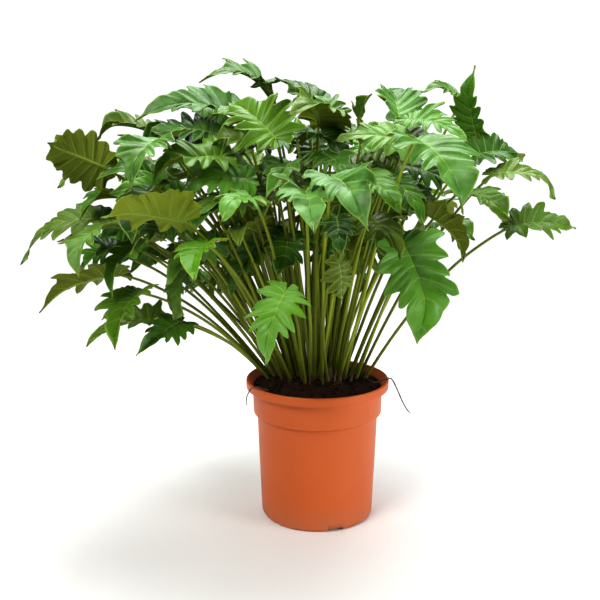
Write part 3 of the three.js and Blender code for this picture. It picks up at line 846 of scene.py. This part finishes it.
def build_sheaths_mesh(count, seed):
    """Dry papery sheaths of old leaves among the stalk feet: each is a narrow strip that tapers to a
    point, curls round the upright and leans out at the top."""
    rng = np.random.default_rng(seed)
    along = np.linspace(0, 1, SHEATH_ROWS)[None, :, None]
    across = np.linspace(-1, 1, SHEATH_SIDES // 2)[None, None, :]
    draws = rng.uniform((14, 3, 0.6, 0.0, 0.0, 0.1), (34, 6, 1.5, 0.45, 2 * math.pi, 1.0), (count, 6))
    height, width, curl, lean, azimuth, spread = draws.T[..., None, None]
    height, width, radius = height * MM, width * MM, np.sqrt(spread)
    half = width * (1 - along ** 1.6) * 0.5 + 0.2 * MM
    turn = across * curl
    x = np.sin(turn) * half / curl * 1.2
    y = -np.cos(turn) * half / curl + lean * height * along ** 1.8
    z = height * along * (1 - 0.12 * along * lean) + 0 * turn
    y, x = y + 0 * z, x + 0 * z
    c, s = np.cos(azimuth), np.sin(azimuth)
    foot_x, foot_y = 78 * MM * radius * s, FOOT_BED[1] + 54 * MM * radius * c
    front = np.stack([x * c + y * s + foot_x, -x * s + y * c + foot_y, z + SOIL_TOP], -1)
    back = front - np.stack([s, c, 0 * c], -1) * 0.35 * MM
    grid = np.concatenate([front, back[:, :, ::-1]], 2)
    points = grid.reshape(-1, 3)
    strip = grid_triangles(SHEATH_ROWS, SHEATH_SIDES, closed_across=True)
    corners = SHEATH_ROWS * SHEATH_SIDES
    caps = np.array([[0, 9, 1], [1, 9, 8], [1, 8, 2], [2, 8, 7], [2, 7, 3], [3, 7, 6], [3, 6, 4], [4, 6, 5]])
    shell = np.vstack([strip, caps, caps[:, ::-1] + corners - SHEATH_SIDES])
    triangles = (shell[None] + corners * np.arange(count)[:, None, None]).reshape(-1, 3)
    tone = np.repeat(rng.uniform(0, 1, count), corners)
    return make_mesh("dry_sheaths", points, outward(points, triangles), {"tone": tone})


# The routes of the two aerial roots over the rim in millimetres.
ROOT_ROUTES = {
    "aerial_root_right": ((80, -12, 203), (90, -14, 205), (99, -16, 210), (108, -18, 210.5), (116, -20, 196),
                          (124, -22, 178), (131, -24, 166), (135, -25, 162)),
    "aerial_root_left": ((-70, -50, 202.5), (-79, -56, 206), (-85, -60, 210), (-93, -65, 209),
                         (-99, -68, 198), (-100, -69, 186)),
}


ROOT_RADIUS = 1.25 * MM
ROOT_SIDES = 10


def build_root_mesh(name, route):
    """A thin knobbly tube along a smooth line through the route, tapering to its free end."""
    corners = np.array(route, float) * MM
    path = hermite(corners, np.ones(len(corners)), 9)
    share = np.linspace(0, 1, len(path))
    radii = ROOT_RADIUS * (1 - 0.4 * share) * (1 + 0.12 * np.sin(share * 61) * np.sin(share * 23))
    points, triangles = tube(path, radii, ROOT_SIDES, (0, 1, 0))
    points, triangles, _, _ = weld(points, triangles, {}, np.zeros(len(triangles)))
    return make_mesh(name + "_skin", points, outward(points, triangles))


# ---------------------------------------------------------------- material parts


class Nodes:
    """Short calls for a node tree: each makes a node, links what it is given and returns an output socket."""

    def __init__(self, tree):
        """Keeps the tree that the nodes go into."""
        self.tree = tree

    def put(self, kind, inputs=None, **settings):
        """Adds a node; each input is either linked to a socket or set to a value."""
        node = self.tree.nodes.new(kind)
        for name, value in settings.items():
            setattr(node, name, value)
        for key, value in (inputs or {}).items():
            socket = node.inputs[key]
            if isinstance(value, bpy.types.NodeSocket):
                self.tree.links.new(value, socket)
            else:
                socket.default_value = value
        return node

    def maths(self, operation, *values, clamp=False):
        """One sum, product or other operation on two values."""
        node = self.put("ShaderNodeMath", dict(enumerate(values)), operation=operation, use_clamp=clamp)
        return node.outputs[0]

    def times(self, first, second):
        """The product of two values."""
        return self.maths("MULTIPLY", first, second)

    def plus(self, first, second, clamp=False):
        """The sum of two values."""
        return self.maths("ADD", first, second, clamp=clamp)

    def feed(self, node, name, value):
        """Links a value to a node's named input."""
        self.tree.links.new(value, node.inputs[name])

    def band(self, value, low, high, start=0.0, end=1.0):
        """Maps value from low..high to start..end along a smooth step."""
        inputs = {"Value": value, "From Min": low, "From Max": high, "To Min": start, "To Max": end}
        node = self.put("ShaderNodeMapRange", inputs, interpolation_type="SMOOTHSTEP", clamp=True)
        return node.outputs["Result"]

    def mix(self, share, first, second, blend="MIX"):
        """The first colour at share 0, the second at share 1."""
        node = self.put("ShaderNodeMix", {0: share, 6: first, 7: second}, data_type="RGBA", blend_type=blend)
        return node.outputs[2]

    def noise(self, vector, scale, detail=3.0, roughness=0.55, distortion=0.0):
        """Soft random clouds with about scale of them to the metre."""
        node = self.put("ShaderNodeTexNoise", {"Vector": vector, "Scale": scale, "Detail": detail,
                                               "Roughness": roughness, "Distortion": distortion})
        return node.outputs["Fac"]

    def attribute(self, name):
        """A value that the mesh carries at its points."""
        return self.put("ShaderNodeAttribute", attribute_name=name).outputs["Fac"]

    def place(self):
        """The point's place in the object's own space."""
        return self.put("ShaderNodeTexCoord").outputs["Object"]

    def stretched(self, vector, scale):
        """The vector scaled on each axis on its own."""
        node = self.put("ShaderNodeMapping", {"Vector": vector, "Scale": scale})
        return node.outputs["Vector"]

    def bump(self, height, strength, distance):
        """A surface normal tilted by a height."""
        node = self.put("ShaderNodeBump", {"Height": height, "Strength": strength, "Distance": distance})
        return node.outputs["Normal"]


def new_group(name, inputs, outputs):
    """An empty node group with named number sockets: inputs are (name, default) rows, and outputs are
    names."""
    group = bpy.data.node_groups.new(name, "ShaderNodeTree")
    for label, default in inputs:
        socket = group.interface.new_socket(label, in_out="INPUT", socket_type="NodeSocketFloat")
        socket.default_value = default
    for label in outputs:
        group.interface.new_socket(label, in_out="OUTPUT", socket_type="NodeSocketFloat")
    nodes = Nodes(group)
    return group, nodes, nodes.put("NodeGroupInput").outputs, nodes.put("NodeGroupOutput").inputs


def opaque(colour):
    """The colour with a fourth share of 1."""
    return (*colour, 1.0)


def vein_group():
    """Leaf veins from the blade's own attributes: the pale lines, their relief and the fine net between
    them."""
    inputs = [("Rib Width", 1.0), ("Vein Strength", 0.7), ("Fine Strength", 0.25)]
    group, n, given, out = new_group("leaf_veins", inputs, ["Lines", "Net", "Relief"])
    wobble = n.noise(n.place(), 180.0, 2.0)
    rib = n.times(n.attribute("rib"), n.plus(0.85, n.times(wobble, 0.3)))
    rib_line = n.band(n.maths("DIVIDE", rib, given["Rib Width"]), 1.15, 0.45)
    vein_line = n.band(n.attribute("vein"), 1.5, 0.35)
    fade = n.band(n.attribute("across"), 1.0, 0.55)
    vein_line = n.times(vein_line, n.times(fade, given["Vein Strength"]))
    lines = n.maths("MAXIMUM", rib_line, vein_line)
    ribs = n.put("ShaderNodeCombineXYZ", {"X": n.times(n.attribute("fan"), 3.5),
                                          "Y": n.times(n.attribute("across"), 1.2)}).outputs[0]
    strands = n.noise(ribs, 2.0, 3.0, 0.6, 0.35)
    strands = n.band(n.maths("ABSOLUTE", n.maths("SUBTRACT", strands, 0.5)), 0.055, 0.0)
    cells = n.put("ShaderNodeTexVoronoi", {"Vector": n.place(), "Scale": 330.0}, feature="DISTANCE_TO_EDGE")
    mesh = n.band(cells.outputs["Distance"], 0.14, 0.02)
    net = n.times(n.maths("MAXIMUM", strands, n.times(mesh, 0.35)), given["Fine Strength"])
    n.tree.links.new(lines, out["Lines"])
    n.tree.links.new(net, out["Net"])
    n.tree.links.new(n.plus(lines, n.times(net, 0.1)), out["Relief"])
    return group


def speckle_group():
    """Fine specks and broad cloudiness that plastic, soil and skin share."""
    inputs = [("Scale", 400.0), ("Amount", 0.5)]
    group, n, given, out = new_group("fine_specks", inputs, ["Specks", "Clouds"])
    grain = n.noise(n.place(), given["Scale"], 2.0, 0.6)
    specks = n.times(n.band(grain, 0.62, 0.74), given["Amount"])
    clouds = n.noise(n.place(), n.times(given["Scale"], 0.035), 4.0, 0.6)
    n.tree.links.new(specks, out["Specks"])
    n.tree.links.new(clouds, out["Clouds"])
    return group


def new_material(name):
    """A fresh node material, its node helper and its shader."""
    material = bpy.data.materials.new(name)
    material.use_nodes = True
    tree = material.node_tree
    shader = tree.nodes["Principled BSDF"]
    return material, Nodes(tree), shader


def use_group(n, group, **values):
    """Places a node group in a tree, sets its inputs and gives back its outputs."""
    node = n.put("ShaderNodeGroup", node_tree=group)
    for label, value in values.items():
        node.inputs[label.replace("_", " ")].default_value = value
    return node.outputs


def dry_tip(n, green, settings):
    """The blade's colour with its last tip dried to brown, more so on some leaves than on others."""
    withered = n.band(n.attribute("along"), 0.93, 0.985)
    share = n.times(withered, n.band(n.attribute("shade"), 0.2, 0.7, 0.25, 0.9))
    return n.mix(share, green, opaque(settings.dry))


def leaf_upper_material(settings, veins, specks):
    """Glossy upper face: green that varies from leaf to leaf and over the blade, pale veins, a paler margin
    and painted glare, patches of pale blue-green sheen painted into the colour."""
    material, n, shader = new_material("leaf_upper_face")
    lines = use_group(n, veins, Rib_Width=1.0, Vein_Strength=0.75, Fine_Strength=0.3)
    spots = use_group(n, specks, Scale=520.0, Amount=0.6)
    broad = n.noise(n.place(), 26.0, 3.0, 0.6)
    uneven = n.times(n.maths("SUBTRACT", broad, 0.5), 0.7)
    tone = n.plus(n.attribute("tone"), uneven, clamp=True)
    green = n.mix(tone, opaque(settings.upper_deep), opaque(settings.upper_bright))
    # Painted glare: patches of pale blue-green sheen of light painted into the upper face's colour.
    glare_patches = n.times(n.attribute("bloom"), n.band(n.noise(n.place(), 38.0, 4.0, 0.6), 0.30, 0.62))
    olive = n.times(n.band(n.attribute("shade"), 0.4, 1.0, 0.0, 0.5),
                    n.maths("SUBTRACT", 1.0, n.attribute("tone"), clamp=True))
    green = n.mix(olive, green, opaque(settings.under))
    green = n.mix(n.times(glare_patches, 0.6), green, opaque(settings.upper_glare_colour))
    green = n.mix(n.times(spots["Specks"], 0.18), green, opaque(settings.vein))
    green = n.mix(n.times(lines["Net"], 0.3), green, opaque(settings.vein))
    green = n.mix(n.times(lines["Lines"], 0.72), green, opaque(settings.vein))
    margin = n.band(n.attribute("edge"), 1.5, 0.25)
    green = n.mix(n.times(margin, 0.5), green, opaque(settings.vein))
    n.feed(shader, "Base Color", dry_tip(n, green, settings))
    rough = n.plus(0.30, n.times(broad, 0.16))
    rough = n.plus(rough, n.times(lines["Lines"], 0.1))
    n.feed(shader, "Roughness", rough)
    height = n.maths("SUBTRACT", n.times(n.noise(n.place(), 90.0, 3.0), 0.5), lines["Relief"])
    n.feed(shader, "Normal", n.bump(height, 0.4, 0.0007))
    shader.inputs["Specular IOR Level"].default_value = 0.19
    shader.inputs["Coat Weight"].default_value = 0.055
    shader.inputs["Coat Roughness"].default_value = 0.25
    return material


def leaf_under_material(settings, veins):
    """Duller olive under face with raised veins."""
    material, n, shader = new_material("leaf_under_face")
    lines = use_group(n, veins, Rib_Width=1.4, Vein_Strength=0.9, Fine_Strength=0.5)
    broad = n.noise(n.place(), 30.0, 3.0, 0.6)
    dark = tuple(channel * 0.42 for channel in settings.under)
    share = n.plus(n.times(broad, 0.5), n.times(n.attribute("tone"), 0.75))
    green = n.mix(share, opaque(dark), opaque(settings.under))
    green = n.mix(n.times(lines["Net"], 0.5), green, opaque(settings.vein))
    green = n.mix(n.times(lines["Lines"], 0.7), green, opaque(settings.vein))
    n.feed(shader, "Base Color", dry_tip(n, green, settings))
    n.feed(shader, "Roughness", n.plus(0.46, n.times(broad, 0.14)))
    n.feed(shader, "Normal", n.bump(lines["Relief"], 0.6, 0.0007))
    shader.inputs["Specular IOR Level"].default_value = 0.12
    return material


def stalk_material(settings, specks):
    """Smooth yellow-green stalk with fine long streaks, browner towards the soil."""
    material, n, shader = new_material("leaf_stalk_skin")
    spots = use_group(n, specks, Scale=700.0, Amount=0.7)
    around = n.put("ShaderNodeCombineXYZ", {"X": n.times(n.attribute("fan"), 26.0),
                                            "Y": n.times(n.attribute("along"), 3.0),
                                            "Z": n.times(n.attribute("tone"), 37.0)}).outputs[0]
    streaks = n.noise(around, 1.0, 3.0, 0.6)
    foot = n.band(n.plus(n.attribute("along"), n.times(spots["Clouds"], 0.3)), 0.52, 0.08)
    shade = n.plus(n.times(streaks, 0.5), n.times(n.attribute("shade"), 0.7))
    green = n.mix(shade, opaque(settings.stalk), opaque(tuple(channel * 0.34 for channel in settings.stalk)))
    green = n.mix(foot, green, opaque(settings.stalk_foot))
    green = n.mix(n.times(spots["Specks"], 0.4), green, opaque(settings.stalk_foot))
    lively = n.band(n.attribute("along"), 0.75, 1.3)
    green = n.mix(n.times(lively, 0.45), green, opaque(settings.vein))
    n.feed(shader, "Base Color", green)
    n.feed(shader, "Roughness", n.plus(0.36, n.times(streaks, 0.14)))
    n.feed(shader, "Normal", n.bump(streaks, 0.25, 0.0004))
    shader.inputs["Specular IOR Level"].default_value = 0.2
    return material


def plastic_material(settings, specks):
    """Moulded terracotta plastic: soft sheen, faint cloudiness, paler edges that are rubbed wear and a
    painted highlight on the rim, and soil dust near the foot."""
    material, n, shader = new_material("pot_plastic_skin")
    spots = use_group(n, specks, Scale=620.0, Amount=0.5)
    height = n.put("ShaderNodeSeparateXYZ", {"Vector": n.place()}).outputs["Z"]
    point = n.put("ShaderNodeNewGeometry").outputs["Pointiness"]
    colour = n.mix(n.times(spots["Clouds"], 0.35), opaque(settings.plastic),
                   opaque(tuple(channel * 0.72 for channel in settings.plastic)))
    # Paler convex edges in patches: painted highlight on the rim and rubbed wear.
    rub_and_highlight_share = n.times(n.band(point, 0.52, 0.60), n.band(n.noise(n.place(), 60.0), 0.35, 0.6))
    colour = n.mix(n.times(rub_and_highlight_share, 0.6), colour, opaque(settings.edge_highlight_and_wear))
    low = n.times(n.band(height, 0.05, 0.0), n.noise(n.place(), 70.0, 5.0, 0.65))
    colour = n.mix(n.times(low, 0.5), colour, opaque(settings.dust))
    colour = n.mix(n.times(spots["Specks"], 0.2), colour, opaque(settings.dust))
    n.feed(shader, "Base Color", colour)
    fine = n.noise(n.stretched(n.place(), (1.0, 1.0, 0.25)), 900.0, 2.0)
    rough = n.plus(0.36, n.times(spots["Clouds"], 0.16))
    n.feed(shader, "Roughness", n.plus(rough, n.times(low, 0.2)))
    n.feed(shader, "Normal", n.bump(fine, 0.12, 0.0003))
    shader.inputs["Specular IOR Level"].default_value = 0.3
    return material


def soil_material(settings, specks, toned):
    """Dark potting mix: wet black-brown with drier brown grains; crumbs also vary one by one."""
    material, n, shader = new_material("soil_crumb_mix" if toned else "soil_bed_mix")
    spots = use_group(n, specks, Scale=480.0, Amount=0.8)
    share = n.times(spots["Clouds"], 0.7)
    if toned:
        share = n.times(n.attribute("tone"), n.plus(0.35, spots["Clouds"]))
    colour = n.mix(share, opaque(settings.dark), opaque(settings.brown))
    colour = n.mix(n.times(spots["Specks"], 0.35), colour,
                   opaque(tuple(channel * 2.2 for channel in settings.brown)))
    n.feed(shader, "Base Color", colour)
    shader.inputs["Roughness"].default_value = 0.8
    shader.inputs["Specular IOR Level"].default_value = 0.12
    rough = n.noise(n.place(), 420.0, 5.0, 0.7)
    n.feed(shader, "Normal", n.bump(rough, 0.9, 0.0012))
    return material


def bark_material(name, light, dark, specks):
    """Dry skin of stems and roots: streaks of two browns with fine specks."""
    material, n, shader = new_material(name)
    spots = use_group(n, specks, Scale=500.0, Amount=0.8)
    streaks = n.noise(n.stretched(n.place(), (1.0, 1.0, 0.4)), 240.0, 4.0, 0.65)
    colour = n.mix(streaks, opaque(light), opaque(dark))
    colour = n.mix(n.times(spots["Specks"], 0.5), colour, opaque(dark))
    n.feed(shader, "Base Color", colour)
    shader.inputs["Roughness"].default_value = 0.7
    n.feed(shader, "Normal", n.bump(streaks, 0.7, 0.0006))
    return material


FLOOR_FADE, FLOOR_END = 0.95, 1.6


def floor_material(settings):
    """Plain pale floor with a barely uneven sheen that thins out to nothing at its round end."""
    material, n, shader = new_material("floor_pale")
    shader.inputs["Base Color"].default_value = opaque(settings.floor)
    n.feed(shader, "Roughness", n.plus(0.6, n.times(n.noise(n.place(), 4.0), 0.1)))
    distance = n.put("ShaderNodeVectorMath", {"Vector": n.place()}, operation="LENGTH").outputs["Value"]
    n.feed(shader, "Alpha", n.band(distance, FLOOR_END, FLOOR_FADE))
    return material


SHARED = {}


def shared(name):
    """The node groups that several materials use, each made once."""
    makers = {"veins": vein_group, "specks": speckle_group}
    if name not in SHARED:
        SHARED[name] = makers[name]()
    return SHARED[name]


def leaf_materials(settings):
    """Upper face, under face and stalk, in the order of a leaf's material numbers."""
    if "leaf" not in SHARED:
        SHARED["leaf"] = [leaf_upper_material(settings, shared("veins"), shared("specks")),
                          leaf_under_material(settings, shared("veins")),
                          stalk_material(settings, shared("specks"))]
    return SHARED["leaf"]


# ---------------------------------------------------------------- operators


class PLANT_OT_build_pot(bpy.types.Operator):
    """Turn the pot's rounded section and cut its drain notches"""

    bl_idname = "plant.build_pot"
    bl_label = "Build pot"

    def execute(self, context):
        settings = context.scene.plant_pot
        material = plastic_material(settings, shared("specks"))
        add_piece("pot_shell", build_pot_mesh(settings), [material], ["pot"])
        return {"FINISHED"}


class PLANT_OT_build_soil(bpy.types.Operator):
    """Fill the pot with lumpy soil and scatter crumbs on it"""

    bl_idname = "plant.build_soil"
    bl_label = "Build soil"

    def execute(self, context):
        settings = context.scene.plant_soil
        bed = soil_material(settings, shared("specks"), False)
        crumbs = soil_material(settings, shared("specks"), True)
        add_piece("soil_bed", build_soil_mesh(settings), [bed], ["soil"])
        add_piece("soil_crumbs", build_crumbs_mesh(settings), [crumbs])
        return {"FINISHED"}


class PLANT_OT_build_stems(bpy.types.Operator):
    """Shape the short stems and the aerial roots"""

    bl_idname = "plant.build_stems"
    bl_label = "Build stems and roots"

    def execute(self, context):
        specks = shared("specks")
        bark = bark_material("stem_bark_skin", (0.13, 0.11, 0.045), (0.035, 0.028, 0.014), specks)
        skin = bark_material("aerial_root_skin", (0.11, 0.085, 0.065), (0.035, 0.026, 0.020), specks)
        papery = bark_material("dry_sheath_skin", (0.20, 0.11, 0.045), (0.06, 0.030, 0.014), specks)
        add_piece("dry_sheaths", build_sheaths_mesh(46, 31), [papery])
        for node in STEM_NODES:
            add_piece(node + "_stub", build_stem_mesh(node), [bark], [node])
        for node, route in ROOT_ROUTES.items():
            add_piece(node + "_skin", build_root_mesh(node, route), [skin], [node])
        return {"FINISHED"}


class PLANT_OT_build_leaves(bpy.types.Operator):
    """Lay a lobed, veined blade and a stalk along every leaf of the frame"""

    bl_idname = "plant.build_leaves"
    bl_label = "Build outer leaves"

    def execute(self, context):
        settings = context.scene.plant_leaf
        materials = leaf_materials(settings)
        rng = np.random.default_rng(settings.seed + 1)
        for number, node in enumerate(LEAF_NODES):
            look = CHOSEN_LOOKS.get(node, chance_look(rng))
            seed = settings.seed + 100 + number
            build_leaf(node + "_blade", read_leaf(node), look, seed, materials, settings, FINE_STEPS, [node])
        return {"FINISHED"}


class PLANT_OT_build_inner_leaves(bpy.types.Operator):
    """Fill the clump with smaller leaves that stand clear of the others"""

    bl_idname = "plant.build_inner_leaves"
    bl_label = "Build inner leaves"

    def execute(self, context):
        settings = context.scene.plant_leaf
        materials = leaf_materials(settings)
        outer = [read_leaf(node) for node in LEAF_NODES]
        rng = np.random.default_rng(settings.seed + 2)
        for number, leaf in enumerate(inner_leaves(outer, settings), 1):
            name, seed = f"inner_leaf_{number:02d}", settings.seed + 300 + number
            build_leaf(name, leaf, chance_look(rng), seed, materials, settings, COARSE_STEPS)
        return {"FINISHED"}


class PLANT_OT_set_stage(bpy.types.Operator):
    """Lay the pale floor, hang the soft lights and place the camera"""

    bl_idname = "plant.set_stage"
    bl_label = "Set stage"

    def execute(self, context):
        settings = context.scene.plant_stage
        scene = context.scene
        add_floor(settings)
        add_camera(settings)
        for light in LIGHTS:
            add_light(*light)
        scene.world = studio_air(settings)
        scene.view_settings.view_transform = "Standard"
        scene.view_settings.gamma = settings.gamma
        scene.view_settings.exposure = settings.exposure
        return {"FINISHED"}


# Name, place, the point it looks at, side length in metres, power in watts, colour
LIGHTS = (
    ("key_light", (-1.2, -1.5, 2.1), (0, 0, 0.4), 1.1, 50, (1.0, 0.985, 0.96)),
    ("top_light", (0.1, 0.7, 2.3), (0, 0, 0.4), 1.8, 75, (0.97, 0.99, 1.0)),
    ("fill_light", (1.9, -0.9, 0.6), (0, 0, 0.25), 1.0, 27, (1.0, 1.0, 1.0)),
)


SURROUND_WHITE = 0.95


def studio_air(settings):
    """A surround that looks white to the camera and gives the plant only a little even light."""
    world = bpy.data.worlds.new("studio_air")
    world.use_nodes = True
    n = Nodes(world.node_tree)
    seen = n.put("ShaderNodeLightPath").outputs["Is Camera Ray"]
    sky = world.node_tree.nodes["Background"]
    sky.inputs["Color"].default_value = (0.97, 0.98, 1.0, 1.0)
    n.feed(sky, "Strength", n.band(seen, 0.0, 1.0, settings.air_light, SURROUND_WHITE))
    return world


def add_floor(settings):
    """A round floor: rings of points round the plant, out to where its material has faded into the white."""
    radius = np.linspace(0, FLOOR_END, 12)
    angles = np.linspace(0, 2 * math.pi, 64, endpoint=False)
    grid = turned(np.column_stack([radius, np.zeros(len(radius))]), angles)
    faces = grid_triangles(len(radius), len(angles), closed_across=True)
    points, faces, _, _ = weld(grid.reshape(-1, 3), faces, {}, np.zeros(len(faces)))
    mesh = make_mesh("pale_floor", points, faces)
    floor = bpy.data.objects.new("pale_floor", mesh)
    bpy.context.collection.objects.link(floor)
    mesh.materials.append(floor_material(settings))


SENSOR_WIDTH = 36                   # millimetres


def add_camera(settings):
    """Places the camera from its distance, height, tilt and turn, and makes it the scene's camera."""
    camera = bpy.data.objects.new("plant_camera", bpy.data.cameras.new("plant_camera"))
    bpy.context.collection.objects.link(camera)
    camera.data.lens = settings.lens
    camera.data.sensor_width = SENSOR_WIDTH
    camera.location = (0, -settings.distance, settings.height)
    camera.rotation_euler = (math.pi / 2 - settings.tilt, 0, settings.turn)
    bpy.context.scene.camera = camera


def add_light(name, place, target, size, watts, colour):
    """A square soft light that looks at its target."""
    light = bpy.data.objects.new(name, bpy.data.lights.new(name, "AREA"))
    bpy.context.collection.objects.link(light)
    light.data.size = size
    light.data.energy = watts
    light.data.color = colour
    light.location = place
    aim = np.array(target, float) - np.array(place)
    level = math.hypot(aim[0], aim[1])
    tilt, turn = math.atan2(aim[2], level), math.atan2(aim[1], aim[0])
    light.rotation_euler = (math.pi / 2 + tilt, 0, turn - math.pi / 2)


class PLANT_PT_build(bpy.types.Panel):
    """Lists the steps that build the plant"""

    bl_idname = "PLANT_PT_build"
    bl_label = "Potted Philodendron"
    bl_space_type = "VIEW_3D"
    bl_region_type = "UI"
    bl_category = "Plant"

    def draw(self, context):
        for operator in OPERATORS:
            self.layout.operator(operator.bl_idname)


GROUPS = {"plant_leaf": LeafSettings, "plant_pot": PotSettings, "plant_soil": SoilSettings,
          "plant_stage": StageSettings}
OPERATORS = (PLANT_OT_build_pot, PLANT_OT_build_soil, PLANT_OT_build_stems, PLANT_OT_build_leaves,
             PLANT_OT_build_inner_leaves, PLANT_OT_set_stage)


def register():
    """Registers the settings, the operators and the panel."""
    for group in GROUPS.values():
        bpy.utils.register_class(group)
    for name, group in GROUPS.items():
        setattr(bpy.types.Scene, name, PointerProperty(type=group))
    for operator in OPERATORS:
        bpy.utils.register_class(operator)
    bpy.utils.register_class(PLANT_PT_build)


def unregister():
    """Takes back everything that register() added."""
    bpy.utils.unregister_class(PLANT_PT_build)
    for operator in reversed(OPERATORS):
        bpy.utils.unregister_class(operator)
    for name, group in GROUPS.items():
        delattr(bpy.types.Scene, name)
        bpy.utils.unregister_class(group)


def main():
    """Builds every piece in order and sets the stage."""
    register()
    bpy.ops.plant.build_pot()
    bpy.ops.plant.build_soil()
    bpy.ops.plant.build_stems()
    bpy.ops.plant.build_leaves()
    bpy.ops.plant.build_inner_leaves()
    bpy.ops.plant.set_stage()
    bpy.context.view_layer.update()


if __name__ == "__main__":
    main()
